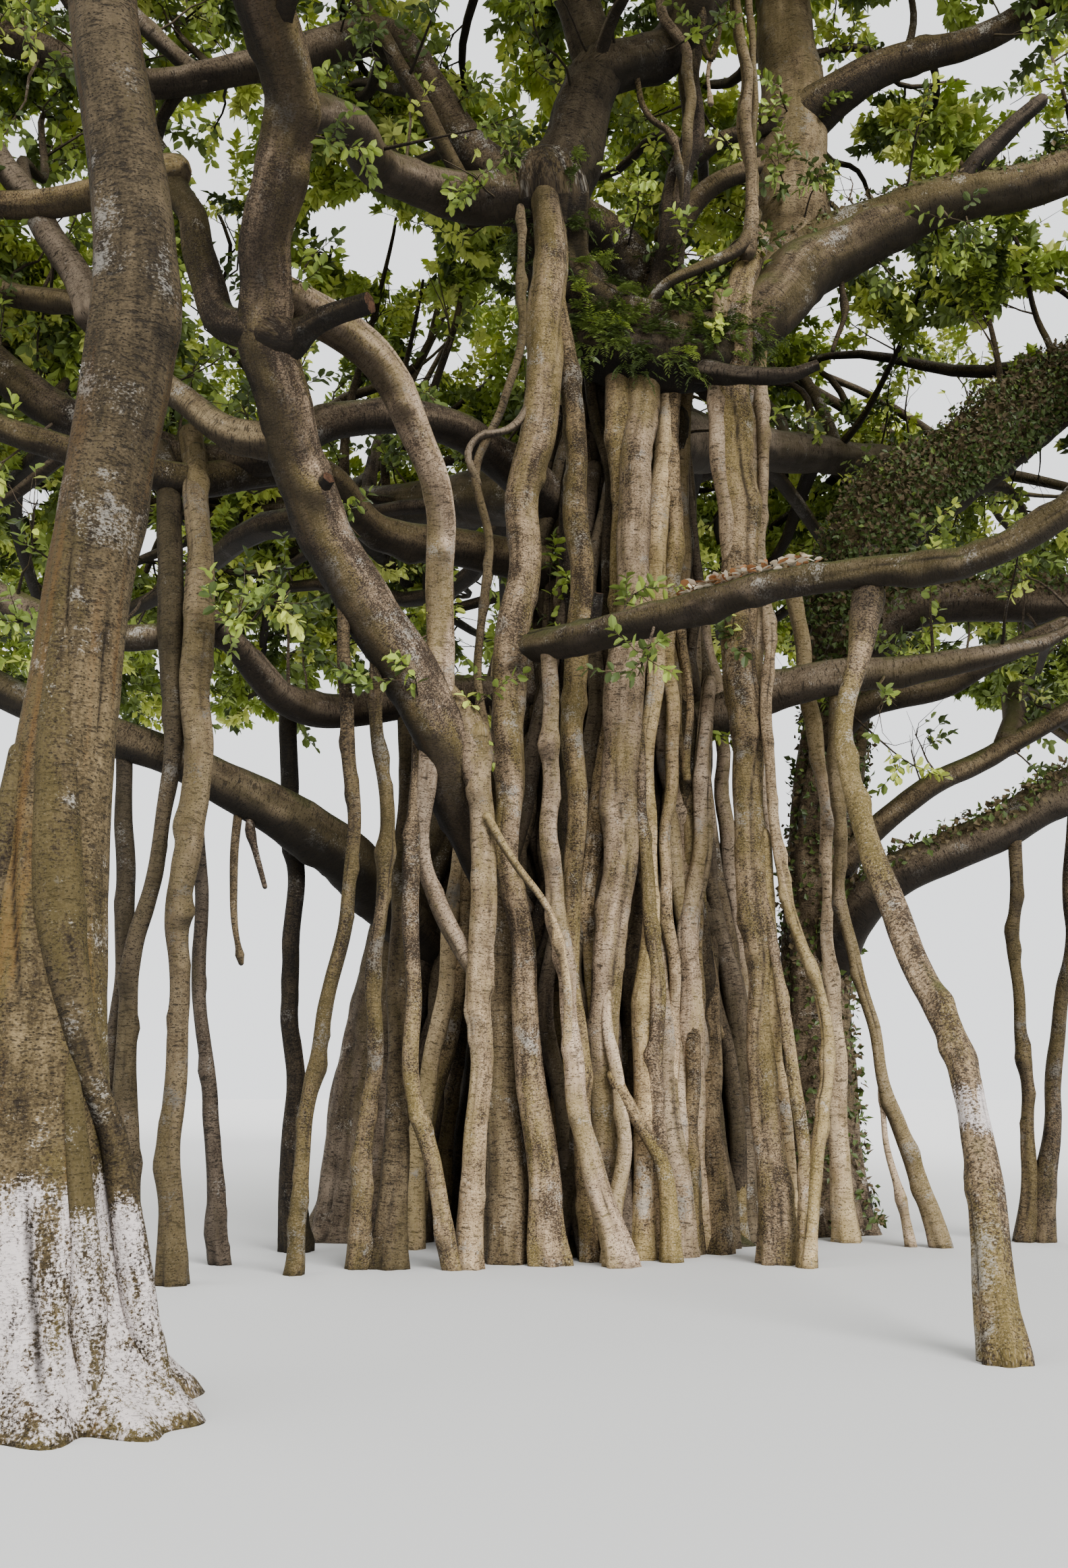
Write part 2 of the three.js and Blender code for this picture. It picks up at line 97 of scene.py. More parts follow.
PILLARS = {
    "pillar_left_slanting": (BARK, (0.15, 0.13, 0.13), 0.36, (
        (-2.82, -2.95, 0), (-2.78, -2.95, 1.1), (-2.41, -3, 3.4), (-2.5, -3, 6.3))),
    "pillar_left_thin": (BARK, (0.2, 0.15, 0.13, 0.12), 0.42, (
        (-2.28, -2.5, 0), (-2.2, -2.58, 2), (-2.1, -2.65, 3.7), (-2.22, -2.78, 6.05))),
    "pillar_left_rear": (SHADED, (0.3, 0.2, 0.16, 0.17), 0.42, (
        (-2.02, -2.45, 0), (-1.98, -2.25, 1.8), (-1.98, -2, 3.6), (-2.02, -1.45, 5.6))),
    "pillar_left_front": (BARK, (0.24, 0.2, 0.27, 0.24), 0.36, (
        (-1.25, -2.5, 0), (-1.19, -2.45, 1.8), (-1.14, -2.4, 3), (-1.22, -2.45, 5.1))),
    "pillar_arch": (BARK, (0.26, 0.28, 0.27, 0.33), 0, (
        (-1.6, -2.48, 5.2), (-1.58, -2.65, 6.4), (-1.62, -2.9, 7.3), ARCH_TOP)),
    "pillar_front": (BARK, (0.36, 0.26, 0.25, 0.35, 0.34, 0.42, 0.3), 0.36, (
        (-0.5, -2.2, 0), (-0.72, -2.1, 2.3), (-0.93, -2.08, 5), (-0.75, -1.95, 7.5), (-0.47, -1.8, 10.2),
        (-0.5, -1.58, 11.5), (-0.5, -1.2, 12.0))),
    "pillar_front_branch": (BARK, (0.18, 0.14, 0.22, 0.26, 0.18), 0.36, (
        (-0.1, -1.95, 0), (-0.25, -2.02, 3), (-0.2, -1.92, 6), (-0.17, -1.8, 8), (-0.4, -1.75, 10.4))),
    "pillar_front_crossing": (BARK, (0.28, 0.17, 0.18, 0.16), 0.42, (
        (0.16, -2.35, 0), (-0.27, -2.32, 1.8), (-0.45, -2.35, 4), (-0.5, -2.62, 5.9))),
    "pillar_middle": (BARK, (0.28, 0.3, 0.42, 0.36, 0.4), 0.36, (
        (0.02, -1.62, 0), (0.06, -1.75, 2), (0.24, -1.75, 4.5), (0.44, -1.6, 7.6), (0.62, -1.1, 10))),
    "pillar_middle_right": (BARK, (0.26, 0.2, 0.17, 0.25, 0.22), 0.36, (
        (0.42, -1.75, 0), (0.5, -1.6, 2.7), (0.6, -1.4, 5.3), (0.74, -1.25, 7.9), (0.95, -0.95, 9.95))),
    "pillar_right_inner": (BARK, (0.24, 0.3, 0.25, 0.2, 0.14), 0.36, (
        (1.08, -1.2, 0), (0.97, -1.15, 2.2), (1.12, -1.1, 4.3), (1.25, -0.95, 5.6), (1.32, -0.7, 6.1))),
    "pillar_right": (BARK, (0.34, 0.29, 0.31, 0.42, 0.44, 0.26), 0.36, (
        (1.7, -2.1, 0), (1.63, -1.8, 2.7), (1.57, -1.6, 5), (1.6, -1.3, 7.8), (1.62, -1.1, 10),
        (2.05, -0.5, 11.7))),
    "pillar_right_wandering": (BARK, (0.13, 0.12, 0.11, 0.1, 0.2), 0.36, (
        (1.92, -2.45, 0), (2.2, -2.1, 2.5), (1.86, -1.9, 3.7), (1.83, -1.6, 6), (2.0, -0.75, 10.4))),
    "pillar_right_thin": (BARK, (0.2, 0.13, 0.13, 0.12), 0.36, (
        (3.6, -0.75, 0), (2.95, -0.75, 2.3), (2.68, -0.75, 4.2), (2.72, -0.85, 6.15))),
    "prop_right_leaning": (BARK, (0.27, 0.24, 0.2, 0.21, 0.22, 0.19, 0.16, 0.17, 0.3), 0.36, (
        (2.32, -7.2, 0), (2.4, -6.2, 1.9), (2.22, -5.6, 2.75), (1.94, -4.8, 4.5), (2.22, -4.36, 5.45),
        (2.35, -4.16, 5.98))),
    "pillar_far_right": (BARK, (0.2, 0.14, 0.12, 0.16), 0.5, (
        (4.67, -0.2, 0), (4.74, -0.3, 1.6), (4.69, -0.4, 3.2), (4.67, -0.6, 4.55))),
    "pillar_far_left": (SHADED, (0.28, 0.18, 0.14, 0.25, 0.24), 0.36, (
        (-4.33, -2.9, 0), (-4.4, -3.1, 2), (-4.12, -3.3, 4), (-4.1, -3.3, 6.2), (-4.4, -2.8, 7.95))),
    "pillar_far_left_stout": (BARK, (0.22, 0.18, 0.25, 0.28, 0.22), 0.42, (
        (-3.77, -3.6, 0), (-3.85, -3.55, 2.2), (-3.78, -3.5, 4.6), (-3.84, -3.4, 6.4),
        (-4.05, -2.85, 7.9))),
    "pillar_back_left": (SHADED, (0.34, 0.26, 0.28, 0.3), 0.42, (
        (-1.2, 2, 0), (-1.1, 1.7, 2.6), (-0.8, 1.4, 5.2), (-0.3, 0.5, 8))),
    "pillar_back_right": (SHADED, (0.32, 0.24, 0.26, 0.28), 0.42, (
        (1.1, 2.1, 0), (1, 1.8, 2.5), (0.9, 1.4, 5), (0.5, 0.4, 8.4))),
}

BOUGHS = {
    "bough_saddle": (SHADED, (0.85, 0.8, 0.8, 0.85, 0.6), 0, (
         FORK, (-0.3, -1, 10.8), (0.2, -0.85, 10.3), (1, -0.9, 10.05), SADDLE_RIGHT)),
    "stem_right": (BARK, (0.5, 0.9, 0.84, 0.72, 0.45), 0, (
         SADDLE_RIGHT, (2.42, -0.1, 11.5), (2.6, 0.15, 13.2), (2.62, 0.35, 15.2), (2.6, 0.5, 17.4))),
    "stem_fork": (SHADED, (0.8, 0.72, 0.68, 0.62), 0, (
         FORK, (-0.29, -1.3, 12.15), (-0.12, -1.3, 12.75), STEM_FORK)),
    "stem_fork_left": (SHADED, (0.5, 0.45, 0.3), 0, (STEM_FORK, (-0.15, -1.35, 14.3), (-1.3, -1, 17))),
    "stem_fork_right": (SHADED, (0.55, 0.52, 0.3), 0, (STEM_FORK, (1.05, -1.1, 13.95), (1.5, -2.2, 16.6))),
    "bough_left_main": (BARK, (0.55, 0.5, 0.5, 0.6, 0.56, 0.54), 0, (
        (-0.7, -0.4, 3.2), (-1.25, -1.6, 4.1), (-1.65, -2.5, 5.2), (-2.25, -2.85, 6.25), (-2.85, -3.3, 7.3),
        CROTCH)),
    "bough_left_upper": (BARK, (0.52, 0.42, 0.52, 0.48, 0.4), 0, (
         CROTCH, (-3.18, -4.3, 9.25), (-2.84, -4.9, 10.4), (-3.4, -6.4, 11.6), OUTLYING_TOP)),
    "bough_left_arch": (BARK, (0.34, 0.36, 0.35), 0, (CROTCH, (-2.5, -3.55, 8.78), ARCH_TOP)),
    "bough_left_long": (SHADED, (0.55, 0.42, 0.35, 0.38, 0.42, 0.35), 0, (
        (-0.2, -0.2, 8.2), (-1.5, -1.4, 8.8), (-2.6, -2.2, 8.6), (-3.5, -2.6, 7.9), (-5.2, -2.6, 8.3),
        (-7.6, -2, 10.2))),
    "bough_left_lower": (SHADED, (0.45, 0.4, 0.34, 0.22), 0, (
        (-0.5, -0.4, 6), (-1.5, -1, 5.9), (-3, -2.2, 5.45), (-3.74, -3.3, 6.05))),
    "bough_left_lowest": (MOSSY, (0.62, 0.6, 0.36, 0.3, 0.3), 0, (
        (-1.9, 0, 3.3), (-2.8, -1.7, 4.1), (-3.9, -2.6, 4.7), (-5.4, -3.1, 5.25), (-8.2, -3.2, 6.6))),
    "bough_upper_left": (MOSSY, (0.65, 0.48, 0.4, 0.32), 0, (
         FORK, (-1.5, -1.5, 11.6), (-2.25, -2.3, 11.4), (-2.5, -3.4, 11.2), (-2.83, -4.8, 10.4))),
    "bough_arched": (SHADED, (0.6, 0.5, 0.44), 0, (FORK, (-1.45, -1.2, 12.35), ARCHED_BEND)),
    "bough_arched_outer": (SHADED, (0.44, 0.34, 0.32, 0.4, 0.35), 0, (
         ARCHED_BEND, (-3.5, -2.1, 12.9), (-4.8, -2.5, 12.3), (-6.2, -3, 12.5), (-8.2, -3.2, 13.4))),
    "bough_right_upper": (SHADED, (0.6, 0.4, 0.3, 0.25), 0, (
        (2.6, 0.15, 13.5), (3.6, -0.3, 14.05), (5.2, -0.6, 14.45), (7.2, -0.9, 15.6))),
    "bough_right_high": (MOSSY, (0.8, 0.55, 0.52, 0.42), 0, (
        (2.4, -0.1, 11.55), (3.9, -0.4, 12.05), (5.4, -0.5, 12.4), (8.2, -0.6, 13.2))),
    "bough_front_cut": (MOSSY, (0.31, 0.33, 0.28, 0.26, 0.24, 0.23, 0.2), 0, (
        (-0.66, -2.42, 6.02), (0, -3.05, 5.96), (1.1, -3.6, 6.14), (2.3, -4.25, 6.2), (3.1, -4.7, 6.16),
        (3.95, -5, 6.55), (7.2, -6.6, 9.8))),
    "bough_ivy": (MOSSY, (0.82, 0.84, 0.8, 0.6), 0, (
         REAR_STEM_TOP, (3.6, 0.8, 8.3), (5.2, 1.5, 9.7), (7.8, 2.7, 12))),
    "bough_right_mid": (SHADED, (0.55, 0.48, 0.42, 0.35), 0, (
        (3, 0.8, 6.5), (4, 0.4, 7.3), (5.8, 0.4, 7.4), (8.2, 0.6, 8))),
    "bough_right_low": (SHADED, (0.5, 0.46, 0.38, 0.24, 0.05), 0, (
        (0.4, -0.4, 5.2), (1.9, -0.75, 5.95), (3.6, -1, 6.2), (4.75, -1, 6.4), (5.25, -1, 6.6),
        (5.6, -1, 6.95))),
    "bough_right_lowest": (SHADED, (0.5, 0.46, 0.52, 0.45), 0, (
        (2.8, 0.8, 3), (3.3, -0.1, 3.85), (4.7, -0.6, 4.55), (8, -0.8, 6.2))),
    "bough_back_left": (SHADED, (0.85, 0.6, 0.35), 0, ((0, 0.1, 8.7), (-3, 3.6, 9.8), (-6.6, 7, 11))),
    "bough_back_right": (SHADED, (0.85, 0.6, 0.35), 0, ((0.4, 0.1, 9.4), (3, 3.9, 10.8), (6.8, 7, 11.8))),
}

# Limbs whose bark runs on over two nodes, in the same form, and the nodes that each stands for.
LONG_LIMBS = {
    "left_limb": (BARK, (0.55, 0.5, 0.5, 0.6, 0.56, 0.54, 0.45, 0.48, 0.51, 0.46, 0.4), 0, (
        BOUGHS["bough_left_main"][3] + BOUGHS["bough_left_upper"][3][1:])),
    "arch_limb": (BARK, (0.3, 0.29, 0.26, 0.33, 0.38, 0.4), 0, (
        PILLARS["pillar_arch"][3] + ((-2.25, -3.35, 8.72), (-2.6, -3.5, 8.95), (-3.1, -3.9, 9.1)))),
    "arched_limb": (SHADED, (0.6, 0.5, 0.44, 0.34, 0.32, 0.4, 0.35), 0, (
        BOUGHS["bough_arched"][3] + BOUGHS["bough_arched_outer"][3][1:])),
}
RUNS_OVER = {
    "left_limb": ["bough_left_main", "bough_left_upper"],
    "arch_limb": ["pillar_arch", "bough_left_arch"],
    "arched_limb": ["bough_arched", "bough_arched_outer"],
}

# Roots too thin for the frame, in the same form. Those at height 0 stand on the ground, and the others hang
# or cross.
THIN_ROOTS = {
    "root_kinked": (BARK, (0.16, 0.15, 0.16, 0.13), 0.36, (
        (-1.4, -2.6, 0), (-1.78, -2.6, 1.8), (-1.84, -2.5, 3.5), (-1.8, -2.45, 5.2))),
    "root_elbow": (BARK, (0.2, 0.19, 0.19, 0.16), 0, (
        (-1.69, -2.5, 5.1), (-1.7, -2.4, 3.75), (-1.4, -2.35, 3.05), (-1.2, -2.35, 2.7))),
    "root_inner_dark": (SHADED, (0.4, 0.35, 0.34, 0.35), 0.36, (
        (-0.91, -2, 0), (-0.94, -1.8, 1.4), (-0.97, -1.7, 3.1), (-1, -1.6, 4.9))),
    "root_second_middle": (BARK, (0.22, 0.18, 0.2, 0.22, 0.3), 0.42, (
        (0.2, -1.55, 0), (-0.09, -1.5, 3), (0.09, -1.5, 4.9), (0.33, -1.4, 7.5), (0.26, -1.3, 9.2),
        (0.3, -1.05, 10.0))),
    "root_third_middle": (BARK, (0.25, 0.14, 0.12, 0.17, 0.18, 0.2), 0.36, (
        (0.62, -1.3, 0), (0.73, -1.4, 1.3), (0.81, -1.3, 2.1), (0.76, -1.3, 3.5), (0.82, -1.2, 5.3),
        (0.92, -1.12, 9.2), (0.95, -0.95, 10))),
    "root_ninth": (BARK, (0.2, 0.15, 0.14, 0.13, 0.07), 0.42, (
        (0.64, -1.75, 0), (0.57, -1.72, 2.1), (0.57, -1.7, 3.1), (0.47, -1.68, 4.7), (0.36, -1.66, 6.2))),
    "root_left_front_head": (BARK, (0.22, 0.27, 0.28), 0, (
        (-1.2, -2.42, 4.6), (-1.3, -2.48, 5.15), (-1.6, -2.48, 5.55))),
    "root_far_left_head": (BARK, (0.24, 0.23, 0.24), 0, (
        (-3.95, -3.1, 7.2), (-4.05, -2.87, 7.75), (-4.15, -2.7, 8.15))),
    "root_whip_pair": (BARK, (0.08, 0.09, 0.1, 0.13, 0.14, 0.16, 0.2), 0, (
        (1.77, -1.2, 14.61), (1.77, -1.25, 13.94), (1.83, -1.25, 13.27), (1.86, -1.22, 12.74),
        (1.88, -1.18, 12.31), (1.88, -1.1, 11.76), (1.84, -1, 11.2))),
    "root_whip_pair_right": (BARK, (0.09, 0.08, 0.08, 0.07), 0, (
        (1.94, -1.15, 14.65), (1.91, -1.2, 13.66), (1.92, -1.2, 13.15), (1.94, -1.15, 12.45),
        (1.96, -1, 11.91))),
    "root_whip_pair_left": (BARK, (0.06, 0.07, 0.06, 0.05), 0, (
        (1.72, -1.1, 14.6), (1.74, -1.15, 13.84), (1.8, -1.15, 13.21), (1.78, -1.1, 12.72),
        (1.84, -1.08, 12.25))),
    "root_whip_twisting": (BARK, (0.1, 0.12, 0.11, 0.12, 0.1), 0, (
        (0.83, -1.3, 14.53), (0.87, -1.35, 14), (1.04, -1.4, 13.73), (1.17, -1.35, 13.53),
        (1.14, -1.3, 13.28), (1.17, -1.3, 12.93), (1.11, -1.3, 12.58), (1.1, -1.2, 12.26),
        (1.02, -1, 11.82))),
    "root_whip_crossing": (BARK, (0.06, 0.07, 0.06), 0, (
        (0.56, -1.25, 13.45), (0.59, -1.28, 13.14), (0.62, -1.3, 12.89), (0.73, -1.3, 12.68),
        (0.89, -1.3, 12.55), (0.98, -1.28, 12.34), (1.04, -1.15, 12.07), (1.06, -1, 11.82))),
    "root_whip_loop": (BARK, (0.06, 0.07, 0.05), 0, (
        (1.34, -1.3, 14.44), (1.35, -1.35, 13.95), (1.36, -1.38, 13.66), (1.41, -1.38, 13.4),
        (1.46, -1.38, 13.56), (1.51, -1.35, 13.82), (1.61, -1.3, 14.17))),
    "root_whip_short": (BARK, (0.05, 0.05, 0.03), 0, (
        (1.5, -1.3, 13.72), (1.39, -1.3, 13.28), (1.41, -1.3, 12.91))),
    "root_right_small": (BARK, (0.16, 0.12, 0.11, 0.1), 0.36, (
        (1.91, -2.42, 0), (1.93, -2.2, 1.5), (1.81, -2, 2.65), (1.66, -1.8, 3.6))),
    "root_rear_right": (BARK, (0.25, 0.17, 0.13, 0.18, 0.2), 0.36, (
        (2.73, -0.2, 0), (2.65, -0.35, 2), (2.62, -0.4, 4), (2.5, -0.35, 6.2), (2.35, -0.1, 7.6))),
    "root_far_right_second": (BARK, (0.26, 0.19, 0.15, 0.13), 0.42, (
        (4.84, -0.2, 0), (5, -0.3, 1.4), (5.12, -0.4, 2.3), (5.4, -0.6, 4.9))),
    "root_behind_left": (SHADED, (0.28, 0.2, 0.18, 0.2), 0.36, (
        (-3.1, -1.1, 0), (-3.15, -1.3, 1.9), (-3.17, -1.6, 4.1), (-3.2, -1.95, 5.5))),
    "root_far_left_inner": (SHADED, (0.18, 0.14, 0.13, 0.14), 0.36, (
        (-3.64, -2.2, 0), (-3.75, -2.3, 1.1), (-3.95, -2.25, 3.3), (-4, -2.6, 4.75))),
    "root_far_left_outer": (SHADED, (0.18, 0.15, 0.17, 0.14), 0.36, (
        (-4.45, -2.9, 0), (-4.6, -2.9, 1.4), (-4.5, -2.9, 3), (-4.63, -2.85, 4.95))),
    "root_front_low": (BARK, (0.15, 0.13, 0.12, 0.06), 0.42, (
        (0.08, -2.05, 0), (0.22, -2, 1.15), (0.08, -1.93, 2.1), (0.1, -1.8, 2.85))),
    "root_front_forked": (BARK, (0.18, 0.15, 0.13), 0.4, (
        (0.68, -2, 0), (0.6, -1.98, 0.8), (0.36, -1.95, 1.35), (0.14, -1.95, 1.75))),
    "root_diagonal": (BARK, (0.09, 0.07, 0.08, 0.09), 0, (
        (-1.1, -2.56, 4.25), (-0.82, -2.56, 3.8), (-0.45, -2.5, 3.15), (-0.3, -2.3, 1.7))),
    "root_slim_right": (BARK, (0.09, 0.08, 0.08), 0, (
        (1, -1.2, 4.9), (1.02, -1.25, 5.7), (0.92, -1.1, 6.9))),
    "root_strand_left": (BARK, (0.18, 0.2, 0.2, 0.16), 0, (
        (1.5, -1.4, 6.3), (1.47, -1.42, 7.8), (1.41, -1.3, 9.2), (1.5, -1.05, 10.6))),
    "root_strand_right": (BARK, (0.14, 0.17, 0.2, 0.2, 0.2), 0, (
        (1.74, -1.6, 3.2), (1.72, -1.5, 5.2), (1.8, -1.25, 7.2), (1.84, -0.95, 9), (1.9, -0.7, 10.6))),
    "root_strand_foot": (BARK, (0.2, 0.17, 0.15), 0.42, (
        (1.83, -2.05, 0), (1.78, -1.85, 2.2), (1.72, -1.7, 4.2))),
    "root_dangling": (BARK, (0.08, 0.09, 0.08, 0.09), 0, (
        (-0.8, -1.9, 11.2), (-0.79, -2.1, 9.6), (-1, -2.1, 8.8), (-1.22, -2.1, 8.1), (-1.14, -2.1, 7.3),
        (-1.22, -2.1, 6), (-1.1, -2.2, 4.9))),
    "root_loop": (BARK, (0.07, 0.08, 0.07), 0, (
        (-0.66, -1.95, 8.95), (-0.95, -2.1, 8.5), (-1.28, -2.1, 8.38), (-1.38, -2.1, 8.2),
        (-1.24, -2.1, 7.9))),
    "root_stub_long": (SHADED, (0.09, 0.08, 0.05), 0, (
        (-3.6, -2.42, 4.65), (-3.57, -2.42, 3.4), (-3.5, -2.4, 2.85))),
    "root_stub_short": (SHADED, (0.08, 0.05), 0, (
        (-3.5, -2.38, 4.5), (-3.38, -2.36, 4), (-3.3, -2.36, 3.6))),
    "root_hanging_right": (SHADED, (0.08, 0.07, 0.05), 0, (
        (3.15, -0.3, 11.9), (3.05, -0.32, 11.1), (3.06, -0.32, 10.8), (2.93, -0.32, 10.3))),
    "root_far_small": (BARK, (0.1, 0.06, 0.05), 0.36, (
        (3.3, -0.7, 0), (3.12, -0.72, 0.8), (3.04, -0.74, 1.85))),
}

# Roots fused with the outlying trunk, in the same form: the first crosses its front and ends in a buttress.
TRUNK_STRANDS = {
    "strand_crossing": (WEATHERED, (0.16, 0.25, 0.27, 0.27, 0.25, 0.16, 0.14, 0.17, 0.2, 0.12), 0, (
        (-3.4, -8.68, 4.3), (-3.38, -8.74, 3.5), (-3.31, -8.83, 2.75), (-3.19, -8.86, 2.23),
        (-3.09, -8.8, 1.82), (-2.95, -8.72, 1.44), (-2.88, -8.72, 1.11), (-2.81, -8.74, 0.78),
        (-2.74, -8.78, 0.5), (-2.67, -8.78, 0.3), (-2.62, -8.77, 0.12))),
    "strand_narrow": (WEATHERED, (0.05, 0.1, 0.13, 0.14, 0.16, 0.2, 0.12), 0, (
        (-3.2, -8.84, 2.0), (-3.15, -8.88, 1.66), (-3.1, -8.9, 1.33), (-3.02, -8.93, 0.9),
        (-2.97, -8.98, 0.5), (-2.92, -9.03, 0.22))),
    "strand_left": (WEATHERED, (0.1, 0.2, 0.24, 0.2, 0.2, 0.2), 0, (
        (-3.62, -8.72, 3.6), (-3.66, -8.8, 2.9), (-3.72, -8.86, 2.0), (-3.74, -8.92, 1.2),
        (-3.8, -9.05, 0.5), (-3.95, -9.35, 0.03))),
}

# Branches too small for the frame, in the same form.
BRANCHES = {
    "branch_left_high": (SHADED, (0.36, 0.3, 0.25, 0.22, 0.16), 0, (
        (-3.12, -4, 8.6), (-3.6, -3.85, 8.85), (-3.88, -3.65, 9.6), (-4.4, -3.3, 10.85),
        (-4.92, -2.9, 12.05), (-5.9, -2.4, 13.6))),
    "branch_left_mid": (SHADED, (0.36, 0.28, 0.24, 0.26, 0.2), 0, (
        (-3, -3.5, 7.75), (-3.54, -3.4, 7.85), (-4.18, -3.2, 8.4), (-5.2, -2.7, 9.5), (-6.3, -2.3, 10),
        (-7.6, -1.9, 10.7))),
    "branch_left_rising": (SHADED, (0.3, 0.28, 0.2), 0, (
        (-5.2, -2.72, 9.5), (-5.62, -2.6, 10.3), (-6.1, -2.6, 11.05), (-7.1, -2.5, 12.3))),
    "branch_left_pink": (BARK, (0.3, 0.32, 0.24), 0, (
        (-4.33, -3.35, 10.7), (-5.2, -2.9, 10.75), (-5.9, -2.8, 10.7), (-7.4, -2.5, 10.9))),
    "branch_left_inner": (SHADED, (0.46, 0.38, 0.36, 0.26, 0.22), 0, (
        (-0.5, -0.4, 7.5), (-1.34, -1, 7.55), (-2.35, -1.5, 7.6), (-3, -2.15, 8), (-4.17, -2.95, 7.6),
        (-5.6, -3.3, 7.9), (-7.2, -3.2, 8.8))),
    "branch_under_saddle": (SHADED, (0.4, 0.66, 0.72, 0.66, 0.4), 0, (
        (-0.35, -1, 10.4), (0.1, -1.1, 9.9), (0.75, -1.22, 9.7), (1.35, -1.12, 9.75), (1.85, -0.8, 10.25))),
    "branch_right_root": (MOSSY, (0.5, 0.66, 0.78, 0.68, 0.4, 0.1), 0, (
        (1.5, -0.95, 9.7), (1.86, -0.75, 10.3), (2.4, -0.5, 11), (3.08, -0.4, 11.6), (4.2, -0.44, 12.1),
        (5.2, -0.5, 12.35))),
    "branch_left_low_outer": (SHADED, (0.14, 0.25, 0.3, 0.32, 0.24), 0, (
        (-3.05, -2.24, 5.46), (-3.66, -3.1, 5.93), (-4.6, -3.15, 5.9), (-5.6, -3, 6.2), (-7.6, -2.6, 7.9))),
    "branch_core_fork": (SHADED, (0.74, 0.66, 0.58, 0.5), 0, (
        (0.75, -0.1, 10.4), (0.5, -0.15, 11.4), (0.07, -0.45, 11.75), (-0.4, -1, 11.85))),
    "branch_behind_fork": (SHADED, (0.34, 0.32, 0.27, 0.24, 0.22, 0.2), 0, (
        (0.89, -0.6, 10.9), (0.99, -0.85, 11.65), (1.11, -0.95, 12.24), (1.22, -1, 12.66),
        (1.19, -1.05, 12.96), (1.15, -1.05, 13.35), (1.26, -1, 13.73), (1.42, -0.9, 14.2),
        (1.9, -0.6, 15.4))),
    "branch_crossing": (SHADED, (0.28, 0.24, 0.26), 0, (
        (1, -0.25, 11.85), (1.41, -0.25, 12.4), (2.3, -0.1, 12.9))),
    "branch_crossing_upper": (SHADED, (0.24, 0.2, 0.22), 0, (
        (1.26, -0.2, 12.9), (1.66, -0.2, 13.15), (2.4, -0.1, 13.45))),
    "branch_parallel": (SHADED, (0.16, 0.18, 0.16, 0.12), 0, (
        (-1.5, -1.5, 11.8), (-1.9, -1.7, 12.65), (-2.5, -1.7, 13.6), (-3.2, -1.5, 15))),
    "branch_leaning_left": (SHADED, (0.2, 0.18, 0.12), 0, (
        (-4.3, -2.4, 12.45), (-4.8, -2.4, 12.95), (-5.9, -2.2, 14.4))),
    "branch_saddle_crossing": (MOSSY, (0.13, 0.13, 0.15, 0.16), 0, (
        (0.6, -1, 10.35), (0.84, -1.2, 10.6), (1.31, -1.2, 10.88), (1.76, -1.1, 11.26),
        (1.95, -0.95, 11.68))),
    "branch_mossy_right": (MOSSY, (0.28, 0.26, 0.24, 0.16), 0, (
        (3, 0.6, 4.2), (3.75, 0.4, 4.9), (5.1, 0.6, 5.7), (7.8, 0.9, 7))),
    "branch_right_short": (SHADED, (0.3, 0.3, 0.2), 0, (
        (2.9, 0.6, 5.7), (3.3, 0.2, 6.05), (4.2, 0.1, 6.3), (5.6, 0.1, 7))),
}

# Dead wood: name: (thicknesses, places, whether the end is sawn flat)
STUBS = {
    "stub_sawn": ((0.3, 0.21, 0.19, 0.2), (
        (-3, -3.95, 8.55), (-2.6, -4.15, 8.7), (-2.16, -4.35, 8.75)), True),
    "stub_bare": ((0.3, 0.27, 0.2, 0.18, 0.12), (
        (0.9, -1.1, 9.7), (1.36, -1.5, 9.44), (1.7, -1.75, 9.29), (2.1, -1.8, 9.26), (2.44, -1.85, 9.36)),
        True),
    "stub_upright": ((0.24, 0.24, 0.21, 0.16), (
        (4.35, -0.5, 12.1), (4.7, -0.7, 12.55), (5, -0.8, 12.85), (5.4, -0.9, 13.2)), False),
    "stub_front": ((0.1, 0.09), ((-0.05, -3.05, 6.1), (-0.02, -3.15, 6.35)), True),
    "stub_knot": ((0.16, 0.12), ((-2.75, -3.4, 7.25), (-2.6, -3.6, 7.35)), True),
}


def seeded(name):
    """The random numbers of one piece, the same on each run."""
    return np.random.default_rng(zlib.crc32(name.encode()))


def unit(vectors):
    return vectors / np.maximum(np.linalg.norm(vectors, axis=-1, keepdims=True), 1e-9)


def smooth(x):
    return x * x * (3 - 2 * x)


def ramp(x, low, high):
    """0 below low, 1 above high, and a smooth step between."""
    return smooth(np.clip((x - low) / (high - low), 0, 1))


def uneven(rng, along, turns, cell, cells_around):
    """Random heights from -1 to 1 on a lattice of cells along a limb and around it, blended by smooth
    steps. The lattice closes on itself around the limb."""
    rows = along[:, None] / cell + rng.uniform()
    columns = (turns[None, :] % 1) * cells_around
    heights = rng.uniform(-1, 1, (int(rows.max()) + 2, cells_around))
    i = rows.astype(int)
    j = columns.astype(int) % cells_around
    k = (j + 1) % cells_around
    up, across = smooth(rows - i), smooth(columns % 1)
    return (heights[i, j] * (1 - across) + heights[i, k] * across) * (1 - up) + (
        heights[i + 1, j] * (1 - across) + heights[i + 1, k] * across) * up


